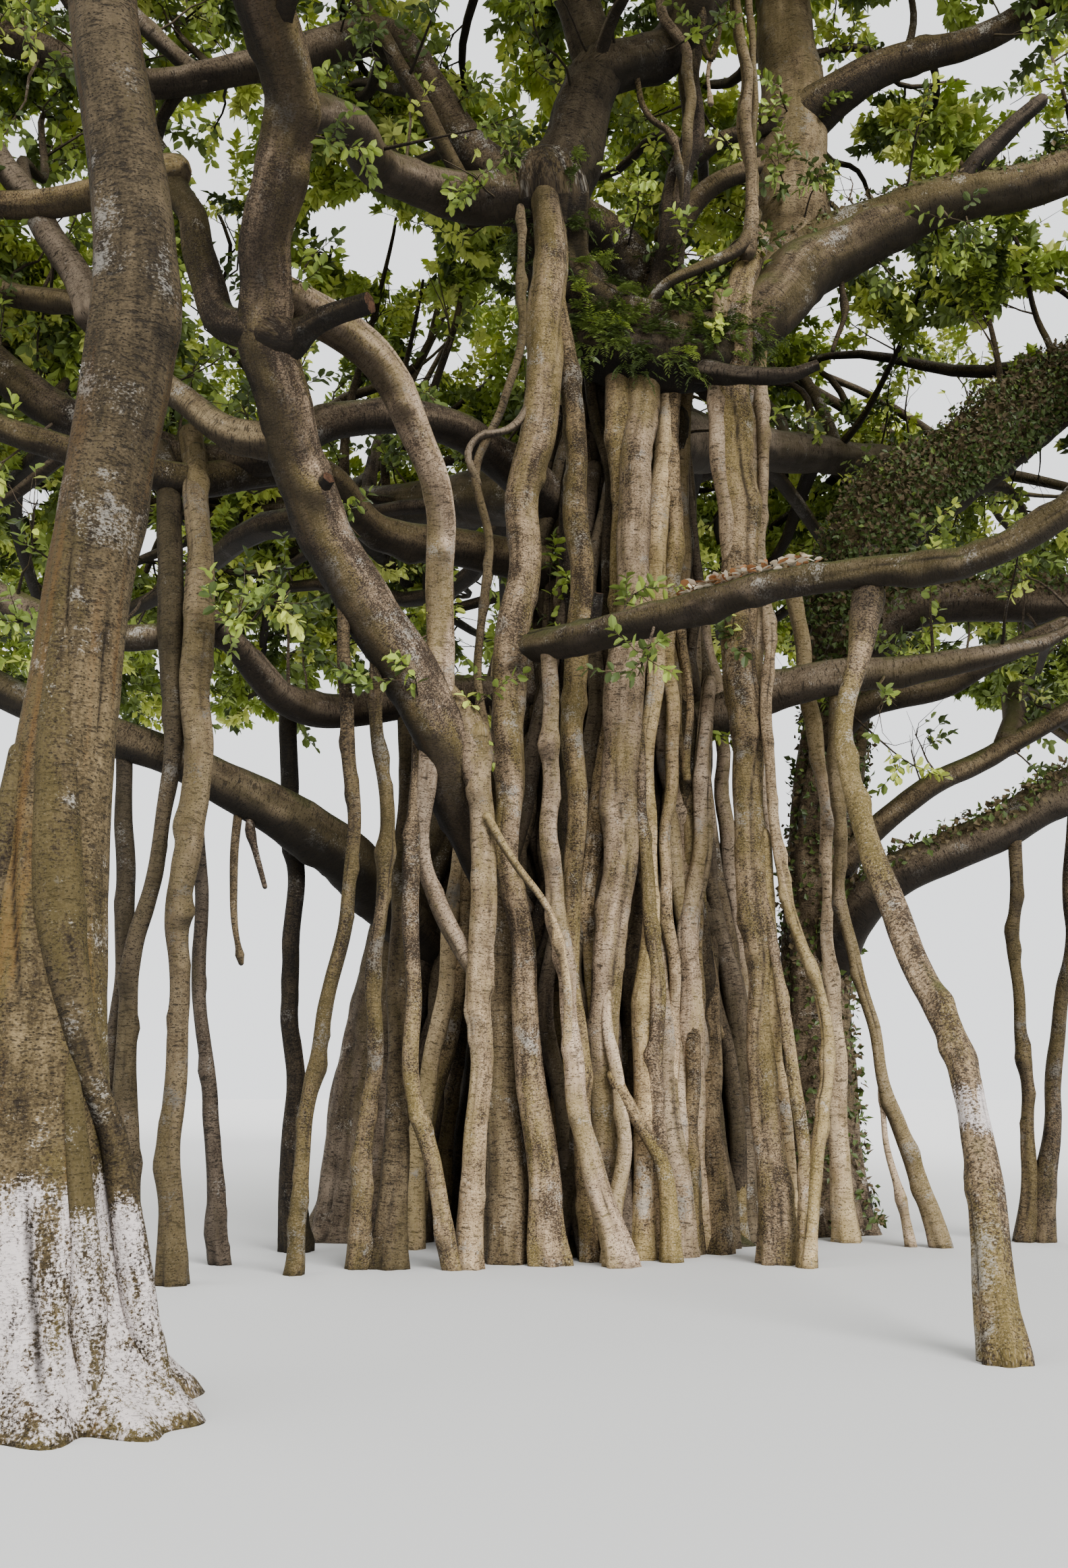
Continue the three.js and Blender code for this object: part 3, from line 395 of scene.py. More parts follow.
def axis_through(places, spacing):
    """Centripetal Catmull-Rom curve through the places: each span is blended from straight lines between
    its four knots, whose gaps are the square roots of the distances. Returns points at an even spacing and
    their distances from the start."""
    p = np.array(places, float)
    p = np.vstack([2 * p[0] - p[1], p, 2 * p[-1] - p[-2]])
    gaps = np.sqrt(np.linalg.norm(np.diff(p, axis=0), axis=1))
    knots = np.concatenate([[0], np.cumsum(gaps)])
    count = len(p) - 3
    t = knots[1:count + 1, None] + np.linspace(0, 1, 60)[None, :] * gaps[1:count + 1, None]
    k = [knots[i:i + count, None, None] for i in range(4)]
    q = [p[i:i + count, None, :] for i in range(4)]
    t = t[..., None]

    def between(a, b, low, high):
        return (high - t) / (high - low) * a + (t - low) / (high - low) * b

    first = [between(q[i], q[i + 1], k[i], k[i + 1]) for i in range(3)]
    second = [between(first[i], first[i + 1], k[i], k[i + 2]) for i in range(2)]
    fine = between(second[0], second[1], k[1], k[2]).reshape(-1, 3)
    run = np.concatenate([[0], np.cumsum(np.linalg.norm(np.diff(fine, axis=0), axis=1))])
    along = np.linspace(0, run[-1], max(4, int(run[-1] / spacing) + 1))
    return np.stack([np.interp(along, run, fine[:, i]) for i in range(3)], axis=1), along


def taper(share, thicknesses):
    """Thickness at each share of the length: straight lines between the given ones, rounded by a running
    mean."""
    plain = np.interp(share, np.linspace(0, 1, len(thicknesses)), thicknesses)
    width = max(1, len(share) // 12)
    padded = np.concatenate([np.full(width, plain[0]), plain, np.full(width, plain[-1])])
    kernel = np.hanning(2 * width + 3)[1:-1]
    return np.convolve(padded, kernel / kernel.sum(), "valid")


def cross_directions(axis, tangents):
    """Two directions square to the axis at each point. The first is square to the normal of the plane that
    the axis lies in most nearly."""
    normal = np.linalg.svd(axis - axis.mean(axis=0))[2][2]
    side = unit(np.cross(tangents, normal))
    return side, np.cross(tangents, side)


def tube_faces(rings, sides):
    """Quads between neighbouring rings, and a fan from each end ring to its pole, all facing outwards. The
    two poles are the last two points."""
    index = np.arange(rings * sides).reshape(rings, sides)
    after = np.roll(index, -1, axis=1)
    quads = np.stack([index[:-1], after[:-1], after[1:], index[1:]], axis=-1).reshape(-1, 4)
    low = np.full(sides, rings * sides)
    fans = np.concatenate([
        np.stack([after[0], index[0], low], axis=-1),
        np.stack([index[-1], after[-1], low + 1], axis=-1),
    ])
    return quads, fans


def limb(name, row, spacing=0.05, sides=20, lumps=0.05, flutes=0.05, strands=5, knots=0.03, burls=0.0,
         sway=0.0, collar=0.0, flare_height=0.35, seams=(), swellings=(), wash=None, stain=0.0,
         sawn=(False, False), spread=6, shade=1.0, dim=None, shaded_side=None, buttresses=(), family=None):
    """A limb's bark: rings of a swelling radius carried along its axis, which sways in two waves between
    its ends. The radius is half the tapering thickness, times one plus broad lumps, the round backs of
    fused strands with sharp furrows between them and small knots, plus burls, and seams and swellings at
    named heights. It widens to the ground as an exponential of the height, the more so in buttresses at
    given turns. A ring on the ground is flat, a sunk end is domed, and a sawn end is flat with a worn edge.
    Painted shade darkens the bark: by its shade, past a height where it is dim, and around the turn of its
    shaded side. A seam is its low and high height, its turn at each, its width and its rise. A swelling is
    its height, turn, size and rise. A buttress is its turn, width, reach and height."""
    finish, thicknesses, flare, places = row
    rng = seeded(name)
    axis, along = axis_through(places, spacing)
    waves = np.stack([np.sin(along[:, None] * rng.uniform(1.5, 3.2, 3) + rng.uniform(0, 6, 3)),
                      np.sin(along[:, None] * rng.uniform(4, 7, 3) + rng.uniform(0, 6, 3))])
    fade = np.clip(np.sin(math.pi * along / along[-1]), 0, 1) ** 0.5
    axis = axis + sway * fade[:, None] * (waves[0] + 0.4 * waves[1]) * np.array([1, 1, 0.3])
    tangents = unit(np.gradient(axis, axis=0))
    side, front = cross_directions(axis, tangents)
    turns = np.arange(sides) / sides
    angle = 2 * math.pi * turns
    spoke = np.cos(angle)[None, :, None] * side[:, None, :] + np.sin(angle)[None, :, None] * front[:, None, :]
    share = along / along[-1]
    thick = taper(share, thicknesses) * (1 + collar * np.exp(-along / (0.7 * thicknesses[0])))
    heights = axis[:, 2]
    wander = turns[None, :] + 0.06 * np.sin(along * 0.9 + rng.uniform(0, 6))[:, None]
    drift = 0.09 * np.sin(0.7 * along + rng.uniform(0, 6)) + 0.04 * np.sin(2.3 * along + rng.uniform(0, 6))
    backs = np.abs(np.cos(math.pi * strands * (turns[None, :] + drift[:, None]))) ** 0.6
    depth = np.clip(0.75 + 0.6 * uneven(rng, along, turns, 1.4, strands), 0.15, 1.4)
    radius = thick[:, None] / 2 * (
        1 + lumps * uneven(rng, along, turns, 0.7, 3) + flutes * depth * (2 * backs - 1.4)
        + knots * uneven(rng, along, turns, 0.2, max(4, sides // 3)))
    # How deep each point lies in a furrow or groove, for painted shade and dirt there
    hollow = np.clip(1 - 1.8 * backs, 0, 1) * depth * min(1, flutes / 0.1)
    for _ in range(int(burls * along[-1])):
        at, turn, size = rng.uniform(0, along[-1]), rng.uniform(0, 2 * math.pi), rng.uniform(0.04, 0.12)
        off = ((angle - turn + math.pi) % (2 * math.pi) - math.pi)[None, :] * thick[:, None] / 2
        radius += 0.3 * size * np.exp(-((along[:, None] - at) ** 2 + off ** 2) / size ** 2)
    if flare:
        roots = 0.75 + 0.5 * np.cos(2 * math.pi * spread * wander + rng.uniform(0, 6)) * rng.uniform(0.6, 1)
        radius += (thick * flare / 2 * np.exp(-heights / flare_height))[:, None] * roots
    facing = np.degrees(np.arctan2(spoke[..., 0], -spoke[..., 1]))
    for low, high, at_low, at_high, width, height in seams:
        t = (heights - low) / (high - low)
        window = np.clip(4 * t, 0, 1) * np.clip(4 - 4 * t, 0, 1)
        off = (facing - (at_low + (at_high - at_low) * smooth(np.clip(t, 0, 1)))[:, None] + 180) % 360 - 180
        radius += height * window[:, None] * np.exp(-(off / width) ** 2)
        hollow += window[:, None] * np.exp(-(2 * off / width) ** 2) * (height < 0)
    for at, turn, size, height in swellings:
        off = np.radians((facing - turn + 180) % 360 - 180) * thick[:, None] / 2
        radius += height * np.exp(-((heights[:, None] - at) ** 2 + off ** 2) / size ** 2)
    for turn, width, reach, height in buttresses:
        off = (facing - turn + 180) % 360 - 180
        radius += reach * np.exp(-heights / height)[:, None] * np.exp(-(off / width) ** 2)
    rings = axis[:, None, :] + radius[..., None] * spoke
    run = np.repeat(along[:, None], sides, axis=1)
    hollow = np.clip(hollow, 0, 1)
    grounded = places[0][2] == 0
    if grounded:
        rings[..., 2] = np.maximum(rings[..., 2], 0)
        rings[0, :, 2] = 0
    low_pole, high_pole = rings[0].mean(axis=0), rings[-1].mean(axis=0)
    for end, is_sawn in zip((0, -1), sawn):
        if end == 0 and grounded:
            continue
        out = tangents[end] * (1 if end else -1)
        reach = radius[end].mean()
        steps = SAWN_END if is_sawn else DOMED_END
        caps = [rings[end].mean(axis=0) + k * (rings[end] - rings[end].mean(axis=0)) + lift * reach * out
                for k, lift in steps]
        pole = rings[end].mean(axis=0) + (0.05 if is_sawn else 1.2) * reach * out
        caps = np.array(caps)
        level = np.full((len(caps), sides), run[end, 0])
        if end:
            rings, run, high_pole = np.concatenate([rings, caps]), np.concatenate([run, level]), pole
            hollow = np.concatenate([hollow, 0 * level])
        else:
            rings, run, low_pole = np.concatenate([caps[::-1], rings]), np.concatenate([level, run]), pole
            hollow = np.concatenate([0 * level, hollow])
    count = len(rings)
    around = np.roll(rings, -1, axis=1) - np.roll(rings, 1, axis=1)
    normals = unit(np.cross(around, np.gradient(rings, axis=0)))
    middle = rings.mean(axis=1, keepdims=True)
    reach = np.linalg.norm(rings - middle, axis=-1)
    offset = seeded("bark of " + (family or name)).uniform(-40, 40, 3)
    straight = np.stack([reach * np.cos(angle), reach * np.sin(angle), run], axis=-1) + offset
    tip = np.array([low_pole, high_pole])
    quads, fans = tube_faces(count, sides)
    rising = np.concatenate([normals[..., 2].ravel(), [-1, 1]])
    points = np.vstack([rings.reshape(-1, 3), tip])
    points[:, 2] = np.maximum(points[:, 2], 0)
    white = np.zeros(len(points))
    if wash:
        low, high, cover = wash
        white = cover * ramp(points[:, 2], low - 0.15, low + 0.15)
        white = white * (1 - ramp(points[:, 2], high - 0.2, high + 0.2))
    normal = np.vstack([normals.reshape(-1, 3), -tangents[0], tangents[-1]])
    # Painted shade: the limb's shade times a random spread, darker past the dim heights and on the shaded
    # side
    dark = np.full(len(points), shade * seeded("shade of " + (family or name)).uniform(0.8, 1.0))
    if dim:
        dark *= 1 - dim[2] * ramp(points[:, 2], dim[0], dim[1])
    if shaded_side:
        off = (np.degrees(np.arctan2(normal[:, 0], -normal[:, 1])) - shaded_side[0] + 180) % 360 - 180
        dark *= 1 - shaded_side[2] * np.exp(-(off / shaded_side[1]) ** 4)
    sawn_faces = np.zeros(len(quads), int)
    rows = np.repeat(np.arange(count - 1), sides)
    if sawn[0]:
        sawn_faces[rows < 2] = 1
    if sawn[1]:
        sawn_faces[rows >= count - 3] = 1
    fan_kinds = np.repeat([int(sawn[0]), int(sawn[1])], sides)
    return {
        "points": points, "quads": quads, "fans": fans,
        "straight": np.vstack([straight.reshape(-1, 3), straight[0, 0], straight[-1, 0]]),
        "rising": rising, "wash": white, "stain": np.full(len(points), stain),
        "hollow": np.concatenate([hollow.ravel(), [0, 0]]),
        "shade": dark, "normals": normal,
        "quad_kinds": sawn_faces, "fan_kinds": fan_kinds,
    }


def tubes(paths, radii, sides, offset=0.0):
    """Many slim closed tubes at once, each a ring of sides carried along its own path. paths is branches by
    rings by 3, and radii is branches by rings."""
    number, rings = radii.shape
    tangents = unit(np.gradient(paths, axis=1))
    chord = unit(paths[:, -1] - paths[:, 0])
    level = unit(np.cross(chord, UP) + 1e-4)
    side = unit(np.cross(tangents, level[:, None, :]))
    front = np.cross(tangents, side)
    angle = 2 * math.pi * np.arange(sides) / sides
    spoke = np.cos(angle)[:, None] * side[:, :, None, :] + np.sin(angle)[:, None] * front[:, :, None, :]
    skin = paths[:, :, None, :] + radii[:, :, None, None] * spoke
    ends = np.stack([paths[:, 0], paths[:, -1]], axis=1)
    points = np.concatenate([skin.reshape(number, -1, 3), ends], axis=1)
    quads, fans = tube_faces(rings, sides)
    shift = (np.arange(number) * points.shape[1])[:, None, None]
    run = np.cumsum(np.linalg.norm(np.diff(paths, axis=1, prepend=paths[:, :1]), axis=-1), axis=1)
    straight = np.concatenate([
        np.stack([radii[:, :, None] * np.cos(angle), radii[:, :, None] * np.sin(angle),
                  np.repeat(run[:, :, None], sides, axis=2)], axis=-1).reshape(number, -1, 3),
        np.zeros((number, 2, 3))], axis=1)
    straight = straight + np.arange(number)[:, None, None] * 0.37 + offset
    rising = np.concatenate([spoke[..., 2].reshape(number, -1), np.zeros((number, 2))], axis=1)
    total = number * points.shape[1]
    quads, fans = (quads + shift).reshape(-1, 4), (fans + shift).reshape(-1, 3)
    return {
        "points": points.reshape(-1, 3), "quads": quads, "fans": fans, "straight": straight.reshape(-1, 3),
        "rising": rising.ravel(), "wash": np.zeros(total), "stain": np.zeros(total),
        # Painted shade: slim branches and twigs are a fifth darker
        "hollow": np.zeros(total), "shade": np.full(total, 0.8), "normals": np.zeros((total, 3)),
        "quad_kinds": np.zeros(len(quads), int), "fan_kinds": np.zeros(len(fans), int),
    }


def leaves(bases, directions, faces_up, lengths, breadth, droop, kinds, small=False):
    """Many leaves at once. A large one has six corners in its own outline, widest past the middle, and is
    two quads folded along the midrib: base, two broad corners, two near the tip, and the tip, which droops.
    A small one is a single folded quad: base, two broad corners and the tip."""
    if small:
        outline = np.array([[0, 0, 0], [0.46, -0.5, 0.13], [1, 0, 0], [0.46, 0.5, 0.13]])
        corners = np.array([[0, 1, 2, 3]])
    else:
        outline = np.array([
            [0, 0, 0], [0.38, -0.5, 0.16], [0.78, -0.42, 0.1],
            [1, 0, 0], [0.78, 0.42, 0.1], [0.38, 0.5, 0.16]])
        corners = np.array([[0, 1, 2, 3], [0, 3, 4, 5]])
    forward = unit(directions)
    normal = unit(faces_up - (faces_up * forward).sum(axis=-1, keepdims=True) * forward)
    across = np.cross(normal, forward)
    size = lengths[:, None, None]
    sag = -droop * outline[:, 0] ** 2
    points = bases[:, None, :] + size * (
        outline[None, :, :1] * forward[:, None, :]
        + breadth * outline[None, :, 1:2] * across[:, None, :]
        + (breadth * outline[:, 2] + sag)[None, :, None] * normal[:, None, :])
    quads = (corners[None] + (np.arange(len(bases)) * len(outline))[:, None, None]).reshape(-1, 4)
    return {"points": points.reshape(-1, 3), "quads": quads, "quad_kinds": np.repeat(kinds, len(corners))}


def joined(parts):
    """One set of arrays from many: points stacked, and faces shifted to follow."""
    shifts = np.cumsum([0] + [len(part["points"]) for part in parts[:-1]])
    together = {}
    for key in parts[0]:
        moves = key in ("quads", "fans")
        moved = [part[key] + shift if moves else part[key] for part, shift in zip(parts, shifts)]
        together[key] = np.concatenate(moved)
    return together


def add_piece(name, parts, materials, nodes=()):
    """Puts the parts' arrays into one mesh that rides on the tree and stands for its nodes."""
    whole = joined(parts)
    quads = whole["quads"]
    fans = whole.get("fans", np.zeros((0, 3), int))
    corners = np.concatenate([quads.ravel(), fans.ravel()]).astype(np.int32)
    fan_starts = len(quads) * 4 + np.arange(len(fans)) * 3
    starts = np.concatenate([np.arange(len(quads)) * 4, fan_starts]).astype(np.int32)
    mesh = bpy.data.meshes.new(name)
    mesh.vertices.add(len(whole["points"]))
    mesh.vertices.foreach_set("co", whole["points"].astype(np.float32).ravel())
    mesh.loops.add(len(corners))
    mesh.loops.foreach_set("vertex_index", corners)
    mesh.polygons.add(len(starts))
    mesh.polygons.foreach_set("loop_start", starts)
    kinds = np.concatenate([whole["quad_kinds"], whole.get("fan_kinds", np.zeros(len(fans), int))])
    mesh.polygons.foreach_set("material_index", kinds.astype(np.int32))
    mesh.polygons.foreach_set("use_smooth", np.full(len(starts), "straight" in whole))
    if "straight" in whole:
        mesh.attributes.new("straight", "FLOAT_VECTOR", "POINT").data.foreach_set(
            "vector", whole["straight"].astype(np.float32).ravel())
        for key in ("rising", "wash", "stain", "hollow", "shade"):
            values = mesh.attributes.new(key, "FLOAT", "POINT").data
            values.foreach_set("value", whole[key].astype(np.float32))
    mesh.update(calc_edges=True)
    if mesh.validate():
        raise RuntimeError(f"the faces of {name} had to be corrected")
    for material in materials:
        mesh.materials.append(material)
    piece = bpy.data.objects.new(name, mesh)
    bpy.context.scene.collection.objects.link(piece)
    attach(piece, "root")
    if nodes:
        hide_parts(*nodes)
    return piece


class Finish:
    """Short ways to add and join the nodes of one material."""

    def __init__(self, name, roughness, specular):
        self.material = bpy.data.materials.new(name)
        self.material.use_nodes = True
        self.tree = self.material.node_tree
        self.shader = self.tree.nodes["Principled BSDF"]
        self.shader.inputs["Roughness"].default_value = roughness
        self.shader.inputs["Specular IOR Level"].default_value = specular

    def add(self, kind, sockets, **settings):
        node = self.tree.nodes.new(kind)
        for key, value in settings.items():
            setattr(node, key, value)
        for key, value in sockets.items():
            if isinstance(value, bpy.types.NodeSocket):
                self.tree.links.new(value, node.inputs[key])
            elif value is not None:
                node.inputs[key].default_value = value
        return node

    def attribute(self, name, output="Fac"):
        return self.add("ShaderNodeAttribute", {}, attribute_name=name).outputs[output]

    def stretched(self, vector, scale):
        return self.add("ShaderNodeMapping", {"Vector": vector, "Scale": scale}).outputs["Vector"]

    def noise(self, vector, scale, detail=4.0, roughness=0.55):
        return self.add("ShaderNodeTexNoise", {
            "Vector": vector, "Scale": scale, "Detail": detail, "Roughness": roughness}).outputs["Fac"]

    def cells(self, vector, scale, output="Distance"):
        return self.add("ShaderNodeTexVoronoi", {"Vector": vector, "Scale": scale}).outputs[output]

    def math_vector(self, vector, push):
        """The vector shifted along all axes by part of a number, so that round cells are bent out of
        true."""
        return self.add("ShaderNodeVectorMath", {0: vector, 1: push}, operation="ADD").outputs["Vector"]

    def math(self, operation, first, second=None, third=None):
        sockets = {0: first, 1: second, 2: third}
        return self.add("ShaderNodeMath", sockets, operation=operation).outputs["Value"]

    def step(self, value, low, high, top=1.0):
        return self.add("ShaderNodeMapRange", {
            "Value": value, "From Min": low, "From Max": high, "To Max": top},
            interpolation_type="SMOOTHSTEP").outputs["Result"]

    def mix(self, factor, first, second):
        colours = {0: factor, 6: first, 7: second}
        return self.add("ShaderNodeMix", colours, data_type="RGBA").outputs[2]

    def times(self, first, second):
        colours = {0: 1.0, 6: first, 7: second}
        return self.add("ShaderNodeMix", colours, data_type="RGBA", blend_type="MULTIPLY").outputs[2]

    def tones(self, value, stops):
        node = self.add("ShaderNodeValToRGB", {"Fac": value})
        ramp_points = node.color_ramp.elements
        while len(ramp_points) < len(stops):
            ramp_points.new(0.5)
        for point, (place, colour) in zip(ramp_points, stops):
            point.position = place
            point.color = (*colour, 1)
        return node.outputs["Color"]

    def bump(self, height, strength, distance):
        node = self.add("ShaderNodeBump", {"Height": height, "Strength": strength, "Distance": distance})
        self.tree.links.new(node.outputs["Normal"], self.shader.inputs["Normal"])

    def colour(self, value):
        self.tree.links.new(value, self.shader.inputs["Base Color"])
        return self.material


def opaque(colour):
    return (*colour, 1.0)


def bark_finish(name, tones, colours, mossy, lichen, damp, film_share):
    """Bark in the limb's own straightened coordinates: long grain, blotches and a fine speckle from dark to
    pale, with cross wrinkles and small pits. Lichen crusts and discs, olive algae, painted shade on the
    undersides, moss where the surface faces up, ochre streaks, painted shade by the shade attribute, worn
    whitewash by attribute, and last the furrows darkened with painted shade and dirt together."""
    light, middle, dark = tones
    n = Finish(name, 0.88, 0.2)
    straight = n.attribute("straight", "Vector")
    rising = n.attribute("rising")
    kind = n.noise(straight, 0.035, 1)
    grain = n.noise(n.stretched(straight, (10, 10, 0.9)), 1, 5, 0.6)
    blotches = n.noise(straight, 3.3, 6, 0.62)
    fine = n.noise(n.stretched(straight, (48, 48, 70)), 1, 3, 0.7)
    wrinkles = n.noise(n.stretched(straight, (7, 7, 52)), 1, 3, 0.6)
    pits = n.cells(n.stretched(straight, (34, 34, 56)), 1)
    tone = n.math("MULTIPLY_ADD", kind, 0.5, n.math("MULTIPLY_ADD", grain, 0.34, n.math(
        "MULTIPLY_ADD", blotches, 0.36, n.math("MULTIPLY", fine, 0.46))))
    colour = n.tones(tone, ((0.7, dark), (0.81, middle), (0.96, light)))
    hue = n.step(n.noise(n.stretched(straight, (0.06, 0.06, 0.025)), 1, 1), 0.38, 0.62)
    colour = n.times(colour, n.mix(hue, (1.1, 1.0, 0.77, 1), (1.1, 1.02, 1.0, 1)))
    creases = n.step(wrinkles, 0.55, 0.67, 0.4)
    colour = n.mix(creases, colour, opaque(dark))
    nicks = n.step(n.noise(n.stretched(straight, (11, 11, 36)), 1, 2, 0.5), 0.61, 0.68, 0.75)
    holes = n.step(n.math("MULTIPLY_ADD", blotches, -0.25, pits), 0.16, 0.02, 0.8)
    holes = n.math("MAXIMUM", holes, nicks)
    colour = n.mix(holes, colour, opaque(dark))
    film = n.noise(n.stretched(straight, (1.4, 1.4, 0.5)), 1, 5, 0.65)
    speckled = n.math("MULTIPLY_ADD", fine, 0.5, film)
    algae = n.step(speckled, 0.79 - 0.1 * mossy, 0.88 - 0.1 * mossy, 0.42 + 0.26 * mossy)
    colour = n.mix(algae, colour, opaque(tuple(film_share * c for c in colours.algae)))
    flecks = n.step(n.noise(n.stretched(straight, (95, 95, 70)), 1, 2, 0.6), 0.58, 0.66, 0.3)
    colour = n.mix(flecks, colour, opaque(light))
    patches = n.noise(straight, 2.1, 5, 0.7)
    crusts = n.math("MULTIPLY_ADD", fine, 0.5, patches)
    crusts = n.step(crusts, 0.87 - 0.03 * lichen, 0.96 - 0.03 * lichen, 0.6)
    colour = n.mix(crusts, colour, opaque(colours.lichen))
    spots = n.cells(n.math_vector(straight, n.noise(straight, 6, 2)), 6.5)
    rounds = n.math("MULTIPLY_ADD", patches, -0.9, n.math("MULTIPLY_ADD", fine, 0.25, spots))
    colour = n.mix(n.step(rounds, -0.2, -0.3, 0.5 * lichen), colour, opaque(colours.lichen))
    # Painted shade: darker where the surface faces down
    below = n.step(rising, 0.12, -0.62, 0.88)
    colour = n.mix(below, colour, opaque(tuple(0.45 * c for c in dark)))
    cushion = n.math("MULTIPLY_ADD", blotches, 1.4, rising)
    cushion = n.step(cushion, 1.35 - 0.3 * damp, 1.75 - 0.25 * damp, 0.85)
    colour = n.mix(cushion, colour, opaque(colours.moss))
    streaks = n.noise(n.stretched(straight, (4.5, 4.5, 0.3)), 1, 4, 0.6)
    rust = n.step(n.math("MULTIPLY_ADD", fine, 0.3, streaks), 0.71, 0.85, 0.7)
    colour = n.mix(n.math("MULTIPLY", rust, n.attribute("stain")), colour, opaque(colours.ochre))
    # Painted shade: darker toward black by the limb's shade attribute
    colour = n.mix(n.math("SUBTRACT", 1.0, n.attribute("shade")), colour, (0, 0, 0, 1))
    worn = n.math("MULTIPLY_ADD", n.noise(n.stretched(straight, (7, 7, 1.6)), 1, 6, 0.75), 1.5, n.math(
        "MULTIPLY_ADD", fine, 1.2, n.attribute("wash")))
    colour = n.mix(n.step(worn, 2.06, 2.32, 0.92), colour, opaque(colours.whitewash))
    # The furrows darker: painted shade, and dirt
    furrows = n.step(n.attribute("hollow"), 0.1, 0.95, 0.85)
    colour = n.mix(furrows, colour, opaque(tuple(0.5 * c for c in dark)))
    ridges = n.math("MULTIPLY_ADD", grain, 0.8, n.math("MULTIPLY", creases, -0.8))
    relief = n.math("MULTIPLY_ADD", fine, 0.45, ridges)
    n.bump(n.math("SUBTRACT", relief, holes), 0.8, 0.016)
    return n.colour(colour)


def sawn_finish(colours):
    """Sawn or broken wood: a grain of reddish brown, checked with dark cracks."""
    n = Finish("sawn_wood", 0.9, 0.15)
    straight = n.attribute("straight", "Vector")
    grain = n.noise(straight, 24, 5, 0.6)
    cracks = n.step(n.noise(n.stretched(straight, (30, 30, 8)), 1, 3), 0.52, 0.62, 0.85)
    brown = colours.sawn
    colour = n.tones(grain, ((0.35, tuple(0.45 * c for c in brown)), (0.65, brown)))
    colour = n.mix(cracks, colour, (0.02, 0.014, 0.01, 1))
    n.bump(n.math("SUBTRACT", grain, cracks), 0.7, 0.015)
    return n.colour(colour)


def leaf_finish(name, colour, roughness=0.5):
    """A leaf's plain tint, with the low gloss of its skin on the shader itself."""
    n = Finish(name, roughness, 0.35)
    n.shader.inputs["Base Color"].default_value = opaque(colour)
    return n.material


_finishes = {}


def finishes():
    """The object's materials, made once and shared by its pieces."""
    if _finishes:
        return _finishes
    colours = bpy.context.scene.banyan_colours
    plain = (colours.bark_pale, colours.bark_middle, colours.bark_deep)
    worn = (colours.worn_pale, colours.worn_middle, colours.worn_deep)
    for kind, name, base, shares, mossy, lichen, damp, film in (
            (BARK, "pale_bark", plain, (1, 1, 1), 0.7, 1.0, 0.2, 2.9),
            # The shaded copy's darker shares are painted shade, and partly darker damp bark
            (SHADED, "shaded_damp_bark", plain, (0.33, 0.28, 0.37), 0.35, 0.4, 0.35, 1.0),
            (MOSSY, "moss_grown_bark", plain, (0.41, 0.335, 0.43), 0.9, 0.7, 0.9, 1.0),
            (WEATHERED, "weathered_bark", worn, (1, 1, 1), 1.1, 0.2, -0.5, 1.0)):
        tones = [tuple(share * c for c in tone) for share, tone in zip(shares, base)]
        _finishes[kind] = bark_finish(name, tones, colours, mossy, lichen, damp, film)
    _finishes["sawn"] = sawn_finish(colours)
    tints = (colours.leaf_deep, colours.leaf_dark, colours.leaf_middle, colours.leaf_bright,
             colours.leaf_brightest)
    _finishes["leaves"] = [leaf_finish(f"leaf_tint_{i}", tuple(tint)) for i, tint in enumerate(tints)]
    _finishes["dry"] = [leaf_finish("dry_leaf", tuple(colours.leaf_dry), DRY_ROUGHNESS),
                        leaf_finish("dry_leaf_pale", (0.62, 0.53, 0.4), DRY_ROUGHNESS)]
    deep, dark, middle = _finishes["leaves"][:3]
    withered = leaf_finish("creeper_brown", (0.085, 0.06, 0.026), DRY_ROUGHNESS)
    _finishes["creepers"] = [deep, withered, dark, middle]
    return _finishes


def bark_set(kind):
    return [finishes()[kind], finishes()["sawn"]]


# Painted shade: how bright the bark of a limb is where it stands in shade
SHADES = {
    "pillar_far_left": 0.55, "pillar_left_slanting": 0.42, "pillar_left_thin": 0.55,
    "pillar_left_rear": 0.7, "pillar_left_front": 0.85, "pillar_right_thin": 0.7, "pillar_far_right": 0.36,
    "root_kinked": 0.75, "root_far_left_inner": 0.4, "root_far_left_outer": 0.4, "root_behind_left": 0.4,
    "root_far_right_second": 0.36, "root_dangling": 0.45, "root_loop": 0.5, "root_whip_pair": 0.74,
    "root_whip_pair_right": 0.68, "root_whip_pair_left": 0.74, "root_whip_twisting": 0.68,
    "root_whip_crossing": 0.74, "root_whip_loop": 0.66, "bough_left_lowest": 0.45, "bough_left_lower": 0.75,
    "bough_left_long": 0.8, "bough_right_lowest": 0.7, "branch_under_saddle": 0.32, "root_elbow": 0.8,
}
